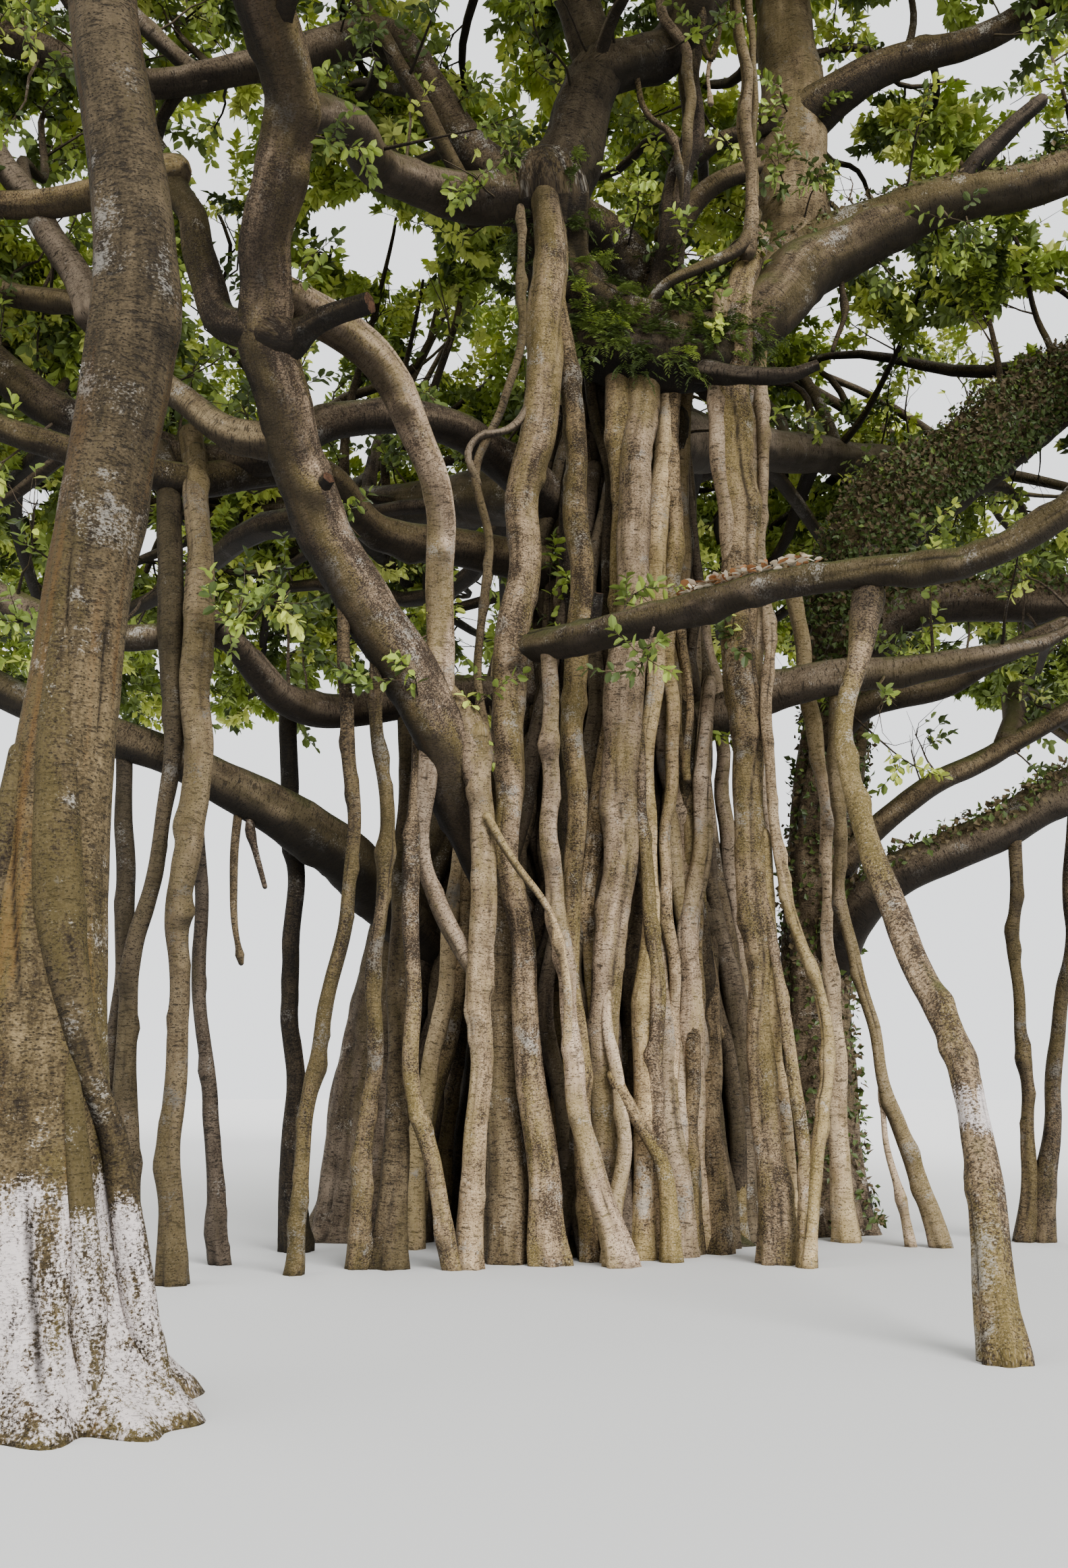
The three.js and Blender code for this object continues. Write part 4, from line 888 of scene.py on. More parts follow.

# How the bark of a limb differs from its group's in other ways: parameters of limb(). Their shade, dim and
# shaded-side values are painted shade.
LIMB_DETAIL = {
    "pillar_far_left_stout": dict(shade=0.32, dim=(5.5, 2.0, 0.3)),
    "root_far_left_head": dict(shade=0.4, dim=None, family="pillar_far_left_stout"),
    "root_second_middle": dict(dim=SADDLE_SHADE),
    "root_third_middle": dict(dim=SADDLE_SHADE),
    "pillar_middle": dict(dim=(8.8, 9.8, 0.6), shade=0.85),
    "pillar_middle_right": dict(dim=SADDLE_SHADE),
    "trunk_core": dict(
        shade=0.45, spacing=0.09, sides=120, flutes=0.1, strands=17, lumps=0.06, knots=0.02, spread=9),
    "trunk_rear_left": dict(spacing=0.08, sides=54, flutes=0.12, strands=8, burls=1.5, shade=0.75),
    "trunk_rear_right": dict(spacing=0.08, sides=54, flutes=0.12, strands=8, burls=1.5),
    "trunk_outlying": dict(
        spacing=0.045, sides=112, flutes=0.02, strands=5, lumps=0.03, knots=0.012, flare_height=0.45,
        spread=7, wash=(-0.05, 1.33, 0.88), stain=0.7, dim=(2.6, 6.4, 0.55),
        buttresses=((79, 22, 0.32, 0.25), (49, 9, 0.36, 0.17), (25, 11, 0.2, 0.18), (-12, 12, 0.14, 0.2),
                    (-60, 16, 0.24, 0.25), (-118, 16, 0.3, 0.25), (132, 18, 0.3, 0.25), (178, 18, 0.25, 0.3)),
        seams=((2.9, 5.2, 24, -16, 4.5, -0.035), (2.9, 5.2, 36, 0, 11, 0.022),
               (3.5, 4.6, 58, 50, 4.5, -0.025), (1.9, 3.3, 5, -30, 5, -0.03), (0.0, 1.5, -32, -22, 6, -0.06),
               (0.0, 1.3, 22, 14, 6, -0.05), (0.0, 1.0, -62, -50, 10, 0.05), (0.0, 1.4, 150, 140, 8, -0.06),
               (0.0, 1.6, -130, -120, 8, -0.06), (5.2, 8.4, -48, -40, 9, 0.018)),
        swellings=((6.5, 55, 0.26, 0.05), (6.95, 40, 0.12, 0.03), (6.3, 70, 0.1, 0.03),
                   (5.15, 150, 0.2, 0.05))),
    "left_limb": dict(
        spacing=0.045, sides=44, stain=0.3, collar=0, shaded_side=(-105, 66, 0.75), shade=0.9,
        swellings=((7.35, 20, 0.16, 0.05), (7.55, 30, 0.1, -0.03), (5.25, 0, 0.3, 0.05),
                   (10.35, 80, 0.16, 0.08))),
    "arch_limb": dict(spacing=0.05, sides=28, collar=0, lumps=0.12, flutes=0.12, stain=0.8),
    "bough_right_high": dict(collar=0.0, family="stem_right"),
    "arched_limb": dict(collar=0.0),
    "stem_fork_left": dict(family="stem_fork", collar=0.1, shade=0.5),
    "stem_fork_right": dict(family="stem_fork", collar=0.1, shade=0.5),
    "pillar_front": dict(spacing=0.045, sides=34, swellings=((6.0, 30, 0.12, 0.05),), flutes=0.09, strands=3,
                         dim=(10.4, 11.5, 0.62)),
    "pillar_right": dict(spacing=0.045, sides=34, flutes=0.1, strands=3, dim=(8.4, 5.6, 0.35)),
    "stem_right": dict(spacing=0.05, sides=56, flutes=0.05, knots=0.02, shade=0.42),
    "stem_fork": dict(spacing=0.05, sides=50, shade=0.34),
    "bough_saddle": dict(spacing=0.05, sides=50, flutes=0.12, strands=7, shade=0.7),
    "bough_front_cut": dict(
        spacing=0.045, sides=32, sawn=(True, False), lumps=0.22, flutes=0.1, knots=0.1, burls=6, shade=0.9,
        sway=0.05, collar=0),
    "prop_right_leaning": dict(
        spacing=0.035, sides=30, wash=(1.35, 1.8, 0.95), lumps=0.09, knots=0.05, shade=0.72, sway=0.012,
        dim=(5.2, 6.0, 0.65)),
    "bough_ivy": dict(spacing=0.07, sides=36, lumps=0.08),
}


def limb_part(name, row, **extra):
    thick = max(row[1])
    detail = {"spacing": 0.06, "sides": int(np.clip(12 + 36 * thick, 12, 42)), **extra}
    if name in SHADES:
        detail["shade"] = SHADES[name]
    detail.update(LIMB_DETAIL.get(name, {}))
    return limb(name, row, **detail)


_parts = {}


def add_limbs(rows, **extra):
    """Each row's bark as a piece of its own that stands for the node of that name, or for those it runs
    over."""
    covered = sum(RUNS_OVER.values(), [])
    for name, row in rows.items():
        if name not in covered:
            _parts[name] = limb_part(name, row, **extra)
            add_piece(name + "_bark", [_parts[name]], bark_set(row[0]),
                      RUNS_OVER.get(name, [name]))


def add_group(name, rows, **extra):
    """Limbs without nodes, joined by finish."""
    for key, row in rows.items():
        _parts[key] = limb_part(key, row, **extra)
    for finish in (BARK, SHADED, MOSSY, WEATHERED):
        parts = [_parts[key] for key, row in rows.items() if row[0] == finish]
        if parts:
            add_piece(f"{name}_{finish}", parts, bark_set(finish))


def sheath_rows(number):
    """Roots that stand close around the core all the way round and fuse with it higher up: each foot lies
    at an even turn with a random step, and the root leans in to the core and wanders a little on its
    way."""
    rng = seeded("sheath")
    rows = {}
    for i in range(number):
        turn = 2 * math.pi * (i + rng.uniform(-0.4, 0.4)) / number
        out = np.array([math.cos(turn), math.sin(turn)])
        front = out[1] < -0.3
        foot = rng.uniform(1.3, 1.75) if front else rng.uniform(1.35, 2.3)
        top = rng.uniform(5.5, 10)
        thick = rng.uniform(0.1, 0.3)
        places = []
        for share in (0, 0.25, 0.55, 0.8, 1):
            reach = foot + (0.8 - foot) * share ** 1.3
            swing = np.array([-out[1], out[0]]) * rng.normal(0, 0.13) + rng.normal(0, 0.05, 2)
            x, y = out * reach + swing + np.array([0.35, 0]) * share ** 2
            places.append((x, y, top * share))
        finish = SHADED if rng.uniform() < 0.7 else BARK
        rows[f"sheath_root_{i}"] = (finish, (1.25 * thick, thick, 0.85 * thick, thick), 0.35, places)
    return rows


def ellipsoid(node):
    """Middle and half size of a mass. Its lower half is flatter than its upper half."""
    low, high = (np.array(corner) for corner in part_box(node))
    half = (high - low) / 2
    half[2] = (high[2] - low[2]) / 1.85
    middle = (high + low) / 2
    middle[2] = high[2] - half[2]
    return middle, half


def kept_inside(points, middle, half, limit):
    """Points moved toward the middle until none lies beyond the limit, as a share of the mass's half
    size."""
    off = (points - middle) / half
    off[..., 2] = np.where(off[..., 2] < 0, off[..., 2] / 0.85, off[..., 2])
    share = np.minimum(1, limit / np.maximum(np.linalg.norm(off, axis=-1), 1e-6))
    return middle + (points - middle) * share[..., None]


def bowed(starts, ends, first, bow, rings, rng):
    """Cubic curves from start to end. Each leaves along its first direction and arrives bent upwards, with
    a sideways wave that fades at both ends."""
    t = np.linspace(0, 1, rings)[None, :, None]
    gap = ends - starts
    reach = np.linalg.norm(gap, axis=-1, keepdims=True)
    near = starts + unit(first) * reach * 0.38
    far = ends - unit(gap / reach + np.array([0, 0, bow])) * reach * 0.3
    path = ((1 - t) ** 3 * starts[:, None] + 3 * (1 - t) ** 2 * t * near[:, None]
            + 3 * (1 - t) * t ** 2 * far[:, None] + t ** 3 * ends[:, None])
    wave = rng.normal(0, 1, (len(starts), 1, 3)) * reach[:, None] * 0.035
    phase = rng.uniform(0, 6, (len(starts), 1, 1))
    return path + wave * np.sin(9 * t + phase) * np.sin(math.pi * t)


def on_paths(paths, shares):
    """Places and directions on each path at the given shares of its rings."""
    rings = paths.shape[1]
    at = np.clip(shares, 0, 0.9999) * (rings - 1)
    i = at.astype(int)
    part = (at - i)[..., None]
    row = np.arange(len(paths))[:, None]
    low, high = paths[row, i], paths[row, i + 1]
    return low + (high - low) * part, unit(high - low)


def slimming(start, end, rings):
    return start[:, None] + (end - start)[:, None] * np.linspace(0, 1, rings)[None, :] ** 0.8


CAMERA_PLACE = np.array([-0.65, -17.3, 1.8])
CAMERA_PITCH = math.radians(10.7)
FOCAL = 35.0
SENSOR = 36.0
FRAME_WIDTH = 1583
FRAME_HEIGHT = 2324
# Where the sky shows through the crown: middle and half size on the photograph's frame, in its pixels
SKY_GAPS = (
    (548, 345, 44, 55), (600, 378, 48, 46), (642, 530, 38, 34), (1258, 258, 30, 52), (1508, 485, 50, 38),
    (1357, 595, 32, 26), (1548, 716, 46, 34), (1330, 1068, 66, 46), (700, 905, 22, 70), (330, 345, 26, 34),
    (1036, 603, 18, 32), (1435, 957, 26, 26), (560, 890, 26, 34), (40, 740, 34, 26), (1025, 382, 15, 18),
    (1450, 640, 20, 30), (150, 400, 20, 26), (900, 640, 14, 24), (1560, 330, 22, 20))


def in_sky_gap(points):
    """Which points lie in line with a gap or one of many random specks, from the place where the photograph
    was taken."""
    rng = seeded("specks of sky")
    specks = rng.uniform((0, 0, 8, 8), (FRAME_WIDTH, 1050, 19, 19), (90, 4))
    right = rng.uniform((1150, 60, 12, 12), (FRAME_WIDTH, 640, 25, 25), (42, 4))
    off = points - CAMERA_PLACE
    sine, cosine = math.sin(CAMERA_PITCH), math.cos(CAMERA_PITCH)
    depth = np.maximum(off[:, 1] * cosine + off[:, 2] * sine, 0.1)
    scale = FOCAL / SENSOR * FRAME_HEIGHT
    u = FRAME_WIDTH / 2 + off[:, 0] / depth * scale
    v = FRAME_HEIGHT / 2 - (off[:, 2] * cosine - off[:, 1] * sine) / depth * scale
    found = np.zeros(len(points), bool)
    for at_u, at_v, half_u, half_v in (*SKY_GAPS, *specks, *right):
        across, down = (u - at_u) / half_u, (v - at_v) / half_v
        turn = np.arctan2(down, across)
        edge = 1 + 0.28 * np.sin(3 * turn + at_u) + 0.2 * np.sin(7 * turn + at_v)
        found |= np.hypot(across, down) < edge
    return found


def twig_leaves(paths, per_twig, length, rng, light, small=False):
    """Leaves around each twig at the golden angle, wide open low down and closer at its end. Their faces turn
    up. A twig's leaves share a tint from dark to bright, picked by a level of painted light."""
    number = len(paths)
    shares = 0.1 + 0.9 * np.linspace(0, 1, per_twig)[None, :] ** 0.75
    shares = shares + rng.uniform(-0.04, 0.04, (number, per_twig))
    bases, ways = on_paths(paths, shares)
    turn = GOLDEN_ANGLE * np.arange(per_twig)[None, :] + rng.uniform(0, 6.3, (number, 1))
    turn = turn + rng.normal(0, 0.3, shares.shape)
    side = unit(np.cross(ways, UP) + 1e-4)
    other = np.cross(ways, side)
    lean = np.radians(88 - 45 * shares + rng.normal(0, 12, shares.shape))[..., None]
    turn = turn[..., None]
    forward = np.cos(lean) * ways + np.sin(lean) * (np.cos(turn) * side + np.sin(turn) * other)
    forward[..., 2] -= 0.15
    faces_up = UP + 0.35 * ways + rng.normal(0, 0.65, forward.shape)
    sizes = length * rng.uniform(0.7, 1.15, shares.shape)
    level = np.clip(light + rng.normal(0, 0.21, number), 0, 0.999)
    kinds = np.repeat((level * LEAF_TINTS).astype(int), per_twig)
    bases, forward, faces_up = (array.reshape(-1, 3) for array in (bases, forward, faces_up))
    keep = ~in_sky_gap(bases)
    return leaves(bases[keep], forward[keep], faces_up[keep], sizes.ravel()[keep],
                  0.64 if small else 0.56, 0.16, kinds[keep], small)


def limb_skeleton():
    """Places and directions along every bough, branch and stem, for branches to grow from."""
    places, ways, sizes = [], [], []
    for rows, lowest in ((BOUGHS, 5), (BRANCHES, 5), ({"trunk_outlying": TRUNKS["trunk_outlying"]}, 9.6)):
        for row in rows.values():
            axis, along = axis_through(row[3], 0.25)
            high = axis[:, 2] > lowest
            places.append(axis[high])
            ways.append(unit(np.gradient(axis, axis=0))[high])
            sizes.append(taper(along / along[-1], row[1])[high])
    return np.concatenate(places), np.concatenate(ways), np.concatenate(sizes)


ELLIPSOID_VOLUME = 4.19  # over the product of its half sizes
VOLUME_PER_BRANCH = 24  # cubic metres of a mass for each main branch
MAIN_BRANCHES = (10, 17)  # fewest and most in a mass of the usual density
CROWDING = 2.2  # metres that a taken place counts as farther off
CROWDING_REACH = 0.8  # distance in metres over which that fades
# How dense a mass is with main branches, where it isn't the usual 1
DENSER = {
    "mass_back": 2.0, "mass_upper_back": 2.2, "mass_back_left": 1.6, "mass_back_right": 1.6,
    "mass_upper_left": 1.4, "mass_front": 0.85, "mass_front_left": 0.85, "mass_front_right": 0.85,
    "mass_upper_front": 0.85}
# Sprays that close the crown between its masses: name: (middle, half size, main branches)
INFILLS = {
    "infill_right": ((5, 2, 13.4), (2.1, 1.6, 1.5), 10),
    "infill_middle": ((-2.5, 2.6, 14.1), (2.2, 1.4, 1.7), 10),
    "infill_left": ((-6.2, 0.6, 10.5), (1.5, 1.7, 1.5), 9),
}


def grow_mass(name, middle, half, number, sizes):
    """A mass of the crown. Main branches run from the nearest places on the limbs to even places in the
    mass, side branches leave them at random shares of their length, and twigs leave those. Each branch ends
    inside the mass. Returns the branches' parts and the leaves' part."""
    rng = seeded(name)
    places, ways, _ = limb_skeleton()
    k = np.arange(number) + 0.5
    polar, turn = np.arccos(1 - 2 * k / number), GOLDEN_ANGLE * k + rng.uniform(0, 6)
    outward = np.stack([np.sin(polar) * np.cos(turn), np.sin(polar) * np.sin(turn), np.cos(polar)], axis=1)
    goals = middle + half * outward * rng.uniform(0.45, 0.72, (number, 1))
    gaps = np.linalg.norm(goals[:, None] - places[None], axis=-1)
    nearest = np.zeros(number, int)
    crowding = np.zeros(len(places))
    for i in range(number):
        nearest[i] = np.argmin(gaps[i] + crowding)
        taken = np.linalg.norm(places - places[nearest[i]], axis=-1)
        crowding += CROWDING * np.exp(-taken / CROWDING_REACH)
    starts = places[nearest]
    reach = np.linalg.norm(goals - starts, axis=1)
    main = bowed(starts, goals, unit(goals - starts) + 0.7 * ways[nearest], 0.4, 16, rng)
    thick = 0.025 + 0.016 * reach
    parts = [tubes(main, slimming(thick, np.full(number, 0.022), 16), 7, rng.uniform(0, 50))]

    def offshoots(paths, each, low, spread, length, limit, radius, rings, sides):
        count = len(paths)
        shares = low + (1 - low) * (np.arange(each)[None, :] + rng.uniform(0, 1, (count, each))) / each
        begin, along = on_paths(paths, shares)
        begin, along = begin.reshape(-1, 3), along.reshape(-1, 3)
        away = unit((begin - middle) / half)
        aim = unit(along * 0.5 + away * 0.6 + rng.normal(0, spread, begin.shape) + np.array([0, 0, 0.1]))
        end = begin + aim * (length * rng.uniform(0.7, 1.3, (len(begin), 1)))
        end = kept_inside(end, middle, half, rng.uniform(limit - 0.12, limit, len(begin)))
        grown = bowed(begin, end, along + aim, 0.25, rings, rng)
        grown = grown[~(in_sky_gap(grown[:, -1]) | in_sky_gap(grown[:, rings // 2]))]
        thin = slimming(np.full(len(grown), radius), np.full(len(grown), radius * 0.35), rings)
        step = 2 if rings == 3 else 1
        parts.append(tubes(grown[:, ::step], thin[:, ::step], sides))
        return grown

    side = offshoots(main, sizes.side_branches, 0.4, 0.6, 0.3 * half.mean(), 0.9, 0.018, 5, 4)
    twigs = offshoots(side, sizes.twigs, 0.1, 0.8, 1.05, 1.0, 0.008, 3, 3)
    ends = twigs[:, -1]
    # Painted light: twigs high in the mass, in high masses and farther back get brighter tints
    behind = 0.012 * np.clip(ends[:, 1], 0, 10)
    light = 0.5 + 0.18 * (ends[:, 2] - middle[2]) / half[2] + 0.01 * (middle[2] - 12) + behind
    foliage = twig_leaves(twigs, sizes.leaves_per_twig, sizes.leaf_length, rng, light, small=True)
    return parts, foliage


class BanyanSizes(bpy.types.PropertyGroup):
    side_branches: bpy.props.IntProperty(
        name="Side branches", description="Side branches on each main branch of a mass", default=8, min=1)
    twigs: bpy.props.IntProperty(name="Twigs", description="Twigs on each side branch", default=7, min=1)
    leaves_per_twig: bpy.props.IntProperty(
        name="Leaves", description="Leaves on each twig", default=41, min=4)
    leaf_length: bpy.props.FloatProperty(
        name="Leaf length", description="Length of a full leaf in the crown", default=0.175, unit="LENGTH")
    sheath_roots: bpy.props.IntProperty(
        name="Sheath roots", description="Thin roots that stand close around the core", default=84, min=0)
    floor_radius: bpy.props.FloatProperty(
        name="Floor radius", description="Radius of the stage's floor", default=90.0, unit="LENGTH")


def tint(name, description, default):
    return bpy.props.FloatVectorProperty(
        name=name, description=description, default=default, size=3, min=0, max=1, subtype="COLOR")


class BanyanColours(bpy.types.PropertyGroup):
    bark_pale: tint("Pale bark", "Dry bark on the parts that stand out", (0.66, 0.54, 0.39))
    bark_middle: tint("Middle bark", "Bark between the pale and the deep parts", (0.315, 0.238, 0.155))
    bark_deep: tint("Deep bark", "Bark in furrows and pits", (0.04, 0.028, 0.018))
    worn_pale: tint("Pale weathered bark", "Outlying trunk on the parts that stand out", (0.15, 0.118, 0.072))
    worn_middle: tint(
        "Middle weathered bark", "Outlying trunk between its pale and deep parts", (0.046, 0.035, 0.018))
    worn_deep: tint("Deep weathered bark", "Outlying trunk in furrows and pits", (0.012, 0.008, 0.0045))
    algae: tint("Algae", "Brown green film on bark", (0.07, 0.052, 0.015))
    moss: tint("Moss", "Cushions of moss on top of limbs", (0.07, 0.07, 0.018))
    lichen: tint("Lichen", "Pale crusts of lichen", (0.42, 0.39, 0.34))
    ochre: tint("Ochre stain", "Rusty streaks on the outlying trunk", (0.11, 0.052, 0.012))
    whitewash: tint("Whitewash", "Worn whitewash on feet and bands", (0.5, 0.445, 0.425))
    sawn: tint("Sawn wood", "Cut and broken ends", (0.1, 0.05, 0.028))
    # The leaf tints run from dark to bright. The crown and the creepers pick them by a level of painted
    # light, the ferns at random.
    leaf_deep: tint("Deep leaves", "Leaves far inside the crown", (0.05, 0.075, 0.014))
    leaf_dark: tint("Dark leaves", "Darker leaves", (0.13, 0.18, 0.03))
    leaf_middle: tint("Middle leaves", "Most leaves", (0.27, 0.35, 0.05))
    leaf_bright: tint("Bright leaves", "Leaves in the light", (0.46, 0.52, 0.085))
    leaf_brightest: tint("Brightest leaves", "Leaves in the most light", (0.6, 0.64, 0.16))
    leaf_dry: tint("Dry leaves", "Fallen leaves caught on a bough", (0.33, 0.15, 0.055))
    floor: tint("Floor", "Floor of the stage", (0.58, 0.575, 0.565))
    sky: tint("Surround", "Plain light all round the stage", (0.93, 0.95, 0.97))


class BANYAN_OT_trunks(bpy.types.Operator):
    """Adds the bark of the core, the rear stems and the outlying trunk"""
    bl_idname = "banyan.trunks"
    bl_label = "Trunks"

    def execute(self, context):
        add_limbs(TRUNKS)
        # The strands' shade is painted shade
        add_group("trunk_strands", TRUNK_STRANDS, spacing=0.035, sides=20, flutes=0.06, strands=2, lumps=0.12,
                  burls=1, wash=(-0.05, 1.2, 0.8), stain=0.6, shade=0.9)
        return {"FINISHED"}


class BANYAN_OT_pillars(bpy.types.Operator):
    """Adds the bark of the pillar roots and props"""
    bl_idname = "banyan.pillars"
    bl_label = "Pillar roots"

    def execute(self, context):
        add_limbs(PILLARS, lumps=0.15, knots=0.05, flutes=0.1, strands=3, burls=2.5, sway=0.035,
                  spacing=0.065, dim=CROWN_SHADE)
        return {"FINISHED"}


class BANYAN_OT_boughs(bpy.types.Operator):
    """Adds the bark of the boughs and upper stems"""
    bl_idname = "banyan.boughs"
    bl_label = "Boughs"

    def execute(self, context):
        add_limbs({**BOUGHS, **LONG_LIMBS}, lumps=0.1, flutes=0.05, strands=3, burls=2, sway=0.03, knots=0.04,
                  collar=0.12, spacing=0.08)
        return {"FINISHED"}


class BANYAN_OT_thin_roots(bpy.types.Operator):
    """Adds the thin standing, crossing and hanging roots"""
    bl_idname = "banyan.thin_roots"
    bl_label = "Thin roots"

    def execute(self, context):
        add_group("thin_roots", THIN_ROOTS, lumps=0.16, knots=0.06, flutes=0.08, strands=2, burls=1.5,
                  sway=0.03, spacing=0.07, dim=CROWN_SHADE)
        return {"FINISHED"}


class BANYAN_OT_sheath(bpy.types.Operator):
    """Adds the roots that stand close around the core"""
    bl_idname = "banyan.sheath"
    bl_label = "Sheath roots"

    def execute(self, context):
        rows = sheath_rows(context.scene.banyan_sizes.sheath_roots)
        # Painted shade: the sheath roots stand back in the shade of the core
        add_group("sheath_roots", rows, lumps=0.16, knots=0.06, flutes=0.08, strands=2, sway=0.05,
                  spacing=0.16, sides=10, shade=0.62)
        return {"FINISHED"}


class BANYAN_OT_branches(bpy.types.Operator):
    """Adds the smaller branches and the sawn and dead stubs"""
    bl_idname = "banyan.branches"
    bl_label = "Branches and stubs"

    def execute(self, context):
        add_group("branches", BRANCHES, lumps=0.1, burls=1.2, sway=0.04, collar=0.3, spacing=0.08)
        # The stubs' shade is painted shade, and partly the darker colour of dead wood
        parts = [
            limb(name, (SHADED, thicknesses, 0, places), spacing=0.03, sides=20, lumps=0.12, flutes=0.12,
                 knots=0.1, collar=0.3, sawn=(False, flat), shade=0.42)
            for name, (thicknesses, places, flat) in STUBS.items()]
        add_piece("stubs", parts, bark_set(SHADED))
        return {"FINISHED"}


class BANYAN_OT_crown(bpy.types.Operator):
    """Grows the branches, twigs and leaves of each mass of the crown"""
    bl_idname = "banyan.crown"
    bl_label = "Crown"

    def execute(self, context):
        sizes = context.scene.banyan_sizes
        for node in sorted(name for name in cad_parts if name.startswith("mass_")):
            middle, half = ellipsoid(node)
            volume = np.prod(half) * ELLIPSOID_VOLUME
            number = int(np.clip(volume / VOLUME_PER_BRANCH, *MAIN_BRANCHES) * DENSER.get(node, 1))
            parts, foliage = grow_mass(node, middle, half, number, sizes)
            add_piece(node + "_branches", parts, bark_set(SHADED))
            add_piece(node + "_leaves", [foliage], finishes()["leaves"], [node])
        for name, (middle, half, number) in INFILLS.items():
            parts, foliage = grow_mass(name, np.array(middle), np.array(half), number, sizes)
            add_piece(name + "_branches", parts, bark_set(SHADED))
            add_piece(name + "_leaves", [foliage], finishes()["leaves"])
        return {"FINISHED"}


SHOOTS = 230
SHOOT_LEAVES = 12  # on each twig
SHOOT_LEAF_LENGTH = 0.13
# Painted light: the level that picks the shoots' tints
SHOOT_LIGHT = 0.32  # brightness of their tints, from 0 to 1
# Places by the boughs near the front that carry a shoot each
SHOOT_PLACES = ((-3.0, -4.0, 8.5), (-2.7, -4.7, 10.2), (-3.4, -8.5, 9.4), (0.6, -3.3, 6.0), (4.2, -0.5, 12.1))


class BANYAN_OT_shoots(bpy.types.Operator):
    """Adds leafy shoots along the boughs"""
    bl_idname = "banyan.shoots"
    bl_label = "Leafy shoots"

    def execute(self, context):
        rng = seeded("shoots")
        places, ways, thick = limb_skeleton()
        far = np.flatnonzero((places[:, 1] > -3.2) | (places[:, 2] > 11.5))
        chosen = rng.choice(far, SHOOTS, replace=False)
        near = [np.argmin(np.linalg.norm(places - np.array(spot), axis=1)) for spot in SHOOT_PLACES]
        chosen = np.append(chosen, near)
        begin, along, size = places[chosen], ways[chosen], thick[chosen]
        aim = unit(rng.normal(0, 0.8, begin.shape) + np.array([0, 0, 0.5]) + 0.3 * along)
        aim = unit(aim - 0.7 * (aim * along).sum(axis=-1, keepdims=True) * along)
        length = size / 2 + rng.uniform(0.3, 1.5, len(begin))
        boughlets = bowed(begin, begin + aim * length[:, None], aim, 0.2, 8, rng)
        parts = [tubes(boughlets, slimming(0.012 + 0.008 * length, np.full(len(begin), 0.006), 8), 5)]
        shares = 0.45 + 0.55 * rng.uniform(0, 1, (len(begin), 5))
        start, heading = (array.reshape(-1, 3) for array in on_paths(boughlets, shares))
        turn = unit(heading + rng.normal(0, 0.7, start.shape))
        twigs = bowed(start, start + turn * rng.uniform(0.25, 0.6, (len(start), 1)), heading, 0.2, 4, rng)
        parts.append(tubes(twigs, slimming(np.full(len(twigs), 0.007), np.full(len(twigs), 0.003), 4), 3))
        add_piece("shoots", parts, bark_set(SHADED))
        foliage = twig_leaves(twigs, SHOOT_LEAVES, SHOOT_LEAF_LENGTH, rng, np.full(len(twigs), SHOOT_LIGHT))
        add_piece("shoot_leaves", [foliage], finishes()["leaves"])
        return {"FINISHED"}


def picked(part, rng, number, wanted):
    """Random places and normals on a limb's bark where wanted is true of its points and normals."""
    found = np.flatnonzero(wanted(part["points"], part["normals"]))
    chosen = rng.choice(found, number)
    return part["points"][chosen], part["normals"][chosen]


# Creeper mats: limb, leaves, least upward share of the bark's normal, depth and leaf length
CREEPER_MATS = (
    ("bough_ivy", 26000, -0.45, 0.4, 0.06), ("trunk_rear_right", 4200, -1.0, 0.08, 0.07),
    ("bough_right_mid", 2500, 0.0, 0.12, 0.07), ("bough_right_lowest", 2200, 0.2, 0.08, 0.07),
    ("bough_right_high", 1200, 0.4, 0.06, 0.06))
FERNS = {"bough_saddle": 70, "branch_under_saddle": 130}
FRONDS = 7  # on each fern
LEAFLETS = 16  # on each frond
DRY_LEAVES = 160
DRY_REACH = (0.7, 1.9)  # where they lie along the cut bough, by x
DRY_PALE = 0.65  # share of them that is bleached


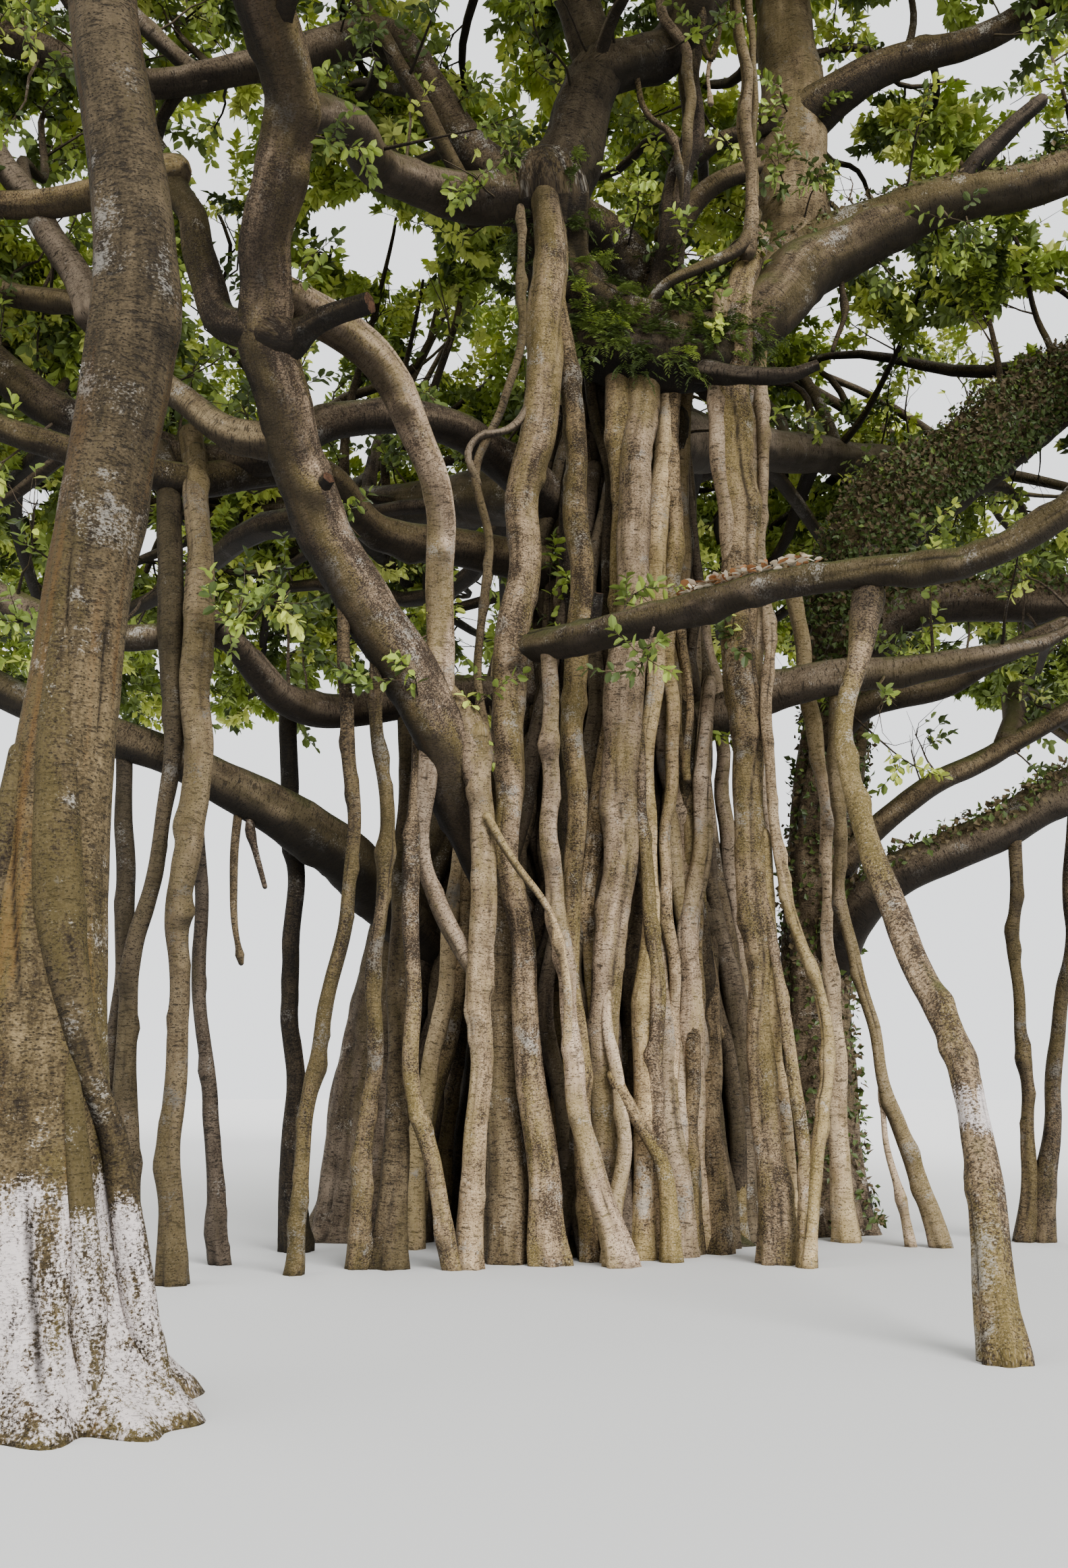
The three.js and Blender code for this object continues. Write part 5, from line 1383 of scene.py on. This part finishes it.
class BANYAN_OT_creepers(bpy.types.Operator):
    """Adds the creeper mat, ferns and dry leaves that live on the boughs"""
    bl_idname = "banyan.creepers"
    bl_label = "Creepers, ferns and dry leaves"

    def execute(self, context):
        rng = seeded("creepers")
        parts = []
        for name, number, lowest, depth, length in CREEPER_MATS:
            at, normal = picked(_parts[name], rng, number, lambda p, m: m[:, 2] > lowest)
            hump = 0.5 + 0.5 * np.sin(3.1 * at[:, 0] + 1.3 * at[:, 2]) * np.cos(2.3 * at[:, 1] + 0.8)
            lift = depth * rng.uniform(0, 1, number) * (0.35 + 0.65 * hump)
            lift = lift * np.clip(0.6 + normal[:, 2], 0.25, 1)
            base = at + normal * lift[:, None] + rng.normal(0, 0.03, at.shape)
            base[:, 2] = np.maximum(base[:, 2], 0.13)
            forward = unit(rng.normal(0, 1, at.shape) + 0.5 * normal - np.array([0, 0, 0.3]))
            # Painted light: leaves that face up take brighter tints
            level = np.clip(rng.normal(0.18, 0.13, number) + 0.2 * normal[:, 2], 0, 0.8)
            faces_up = normal + rng.normal(0, 0.5, at.shape)
            lengths = length * rng.uniform(0.8, 1.7, number)
            parts.append(leaves(base, forward, faces_up, lengths,
                                0.66, 0.1, (level * CREEPER_TINTS).astype(int), True))
        add_piece("creeper_mat", parts, finishes()["creepers"])

        tufts = []
        for name, number in FERNS.items():
            at, normal = picked(_parts[name], rng, number, lambda p, m: (m[:, 2] > -0.75) & (m[:, 1] < 0.5))
            base, out = np.repeat(at, FRONDS, axis=0), np.repeat(normal, FRONDS, axis=0)
            forward = unit(out + rng.normal(0, 0.6, base.shape) + np.array([0, 0, 0.2]))
            tips = base + forward * rng.uniform(0.12, 0.3, (len(base), 1)) - np.array([0, 0, 0.06])
            fronds = bowed(base, tips, forward + UP, -0.6, 7, rng)
            pairs = np.linspace(0.15, 1, LEAFLETS)[None, :] + np.zeros((len(base), 1))
            at, along = (array.reshape(-1, 3) for array in on_paths(fronds, pairs))
            sideways = unit(np.cross(along, UP) + 1e-4) * np.tile([1.0, -1.0], len(at) // 2)[:, None]
            length = 0.03 + 0.045 * np.sin(math.pi * pairs.ravel() ** 0.7) * rng.uniform(0.8, 1.2, len(at))
            level = np.repeat(np.clip(rng.normal(0.15, 0.16, number), 0, 0.7), FRONDS * LEAFLETS)
            faces_up = UP + rng.normal(0, 0.25, at.shape)
            tufts.append(leaves(at, sideways + 0.5 * along, faces_up, length,
                                0.34, 0.2, (level * LEAF_TINTS).astype(int), True))
        add_piece("fern_tufts", tufts, finishes()["leaves"])

        start, end = DRY_REACH
        at, normal = picked(
            _parts["bough_front_cut"], rng, DRY_LEAVES,
            lambda p, m: (m[:, 2] > 0.75) & (p[:, 0] > start) & (p[:, 0] < end))
        forward = rng.normal(0, 1, at.shape) * np.array([1, 1, 0.2])
        base = at + normal * rng.uniform(0.005, 0.07, (DRY_LEAVES, 1))
        faces_up = UP + rng.normal(0, 0.35, at.shape)
        lengths = rng.uniform(0.07, 0.14, DRY_LEAVES)
        pale = rng.uniform(0, 1, DRY_LEAVES) < DRY_PALE
        dry = leaves(base, forward, faces_up, lengths, 0.6, -0.2, pale.astype(int))
        add_piece("dry_leaves", [dry], finishes()["dry"])
        return {"FINISHED"}


# Lights: elevation and turn in degrees, and strength
LIGHTS = {"key": (27, 30, 6.2), "fill": (24, -60, 0.4), "back": (42, 200, 2.4)}
LIGHT_WIDTH = 35  # degrees across, for soft shadows
SURROUND_STRENGTH = 1.9


class BANYAN_OT_stage(bpy.types.Operator):
    """Adds the floor, the lights and the camera"""
    bl_idname = "banyan.stage"
    bl_label = "Stage"

    def execute(self, context):
        scene = context.scene
        colours = scene.banyan_colours
        radius = scene.banyan_sizes.floor_radius
        rings, sides = 12, 72
        angle = 2 * math.pi * np.arange(sides) / sides
        reach = radius * np.linspace(1 / rings, 1, rings)
        x, y = reach[:, None] * np.cos(angle), reach[:, None] * np.sin(angle)
        disc = np.stack([x, y, np.zeros((rings, sides))], axis=-1)
        index = np.arange(rings * sides).reshape(rings, sides)
        after = np.roll(index, -1, axis=1)
        quads = np.stack([index[:-1], index[1:], after[1:], after[:-1]], axis=-1).reshape(-1, 4)
        mesh = bpy.data.meshes.new("floor")
        mesh.from_pydata(disc.reshape(-1, 3).tolist(), [], quads.tolist() + [index[0].tolist()])
        floor = bpy.data.objects.new("floor", mesh)
        scene.collection.objects.link(floor)
        paint = Finish("floor_paint", 0.95, 0.1)
        paint.shader.inputs["Base Color"].default_value = opaque(tuple(colours.floor))
        mesh.materials.append(paint.material)

        world = bpy.data.worlds.new("surround")
        world.use_nodes = True
        background = world.node_tree.nodes["Background"]
        background.inputs["Color"].default_value = opaque(tuple(colours.sky))
        background.inputs["Strength"].default_value = SURROUND_STRENGTH
        scene.world = world
        for name, (elevation, turn, strength) in LIGHTS.items():
            lamp = bpy.data.lights.new(name, "SUN")
            lamp.angle = math.radians(LIGHT_WIDTH)
            lamp.energy = strength
            holder = bpy.data.objects.new(name, lamp)
            holder.location = (0, 0, 30)
            holder.rotation_euler = (math.radians(90 - elevation), 0, math.radians(turn))
            scene.collection.objects.link(holder)

        lens = bpy.data.cameras.new("camera")
        lens.lens = FOCAL
        lens.sensor_width = SENSOR
        lens.sensor_fit = "AUTO"
        lens.clip_end = 400
        camera = bpy.data.objects.new("camera", lens)
        camera.location = CAMERA_PLACE
        camera.rotation_euler = (math.pi / 2 + CAMERA_PITCH, 0, 0)
        scene.collection.objects.link(camera)
        scene.camera = camera
        return {"FINISHED"}


STEPS = (
    BANYAN_OT_stage, BANYAN_OT_trunks, BANYAN_OT_pillars, BANYAN_OT_boughs, BANYAN_OT_thin_roots,
    BANYAN_OT_sheath, BANYAN_OT_branches, BANYAN_OT_crown, BANYAN_OT_shoots, BANYAN_OT_creepers)


class BANYAN_PT_panel(bpy.types.Panel):
    """Lists the tree's pieces, sizes and colours"""
    bl_idname = "BANYAN_PT_panel"
    bl_label = "Banyan tree"
    bl_space_type = "VIEW_3D"
    bl_region_type = "UI"
    bl_category = "Banyan"

    def draw(self, context):
        for step in STEPS:
            self.layout.operator(step.bl_idname)
        for group in (context.scene.banyan_sizes, context.scene.banyan_colours):
            for key in group.__annotations__:
                self.layout.prop(group, key)


CLASSES = (BanyanSizes, BanyanColours, *STEPS, BANYAN_PT_panel)


def register():
    for each in CLASSES:
        bpy.utils.register_class(each)
    bpy.types.Scene.banyan_sizes = bpy.props.PointerProperty(type=BanyanSizes)
    bpy.types.Scene.banyan_colours = bpy.props.PointerProperty(type=BanyanColours)


def unregister():
    del bpy.types.Scene.banyan_colours
    del bpy.types.Scene.banyan_sizes
    for each in reversed(CLASSES):
        bpy.utils.unregister_class(each)


def main():
    register()
    for step in STEPS:
        group, operation = step.bl_idname.split(".")
        getattr(getattr(bpy.ops, group), operation)()
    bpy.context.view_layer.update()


if __name__ == "__main__":
    main()
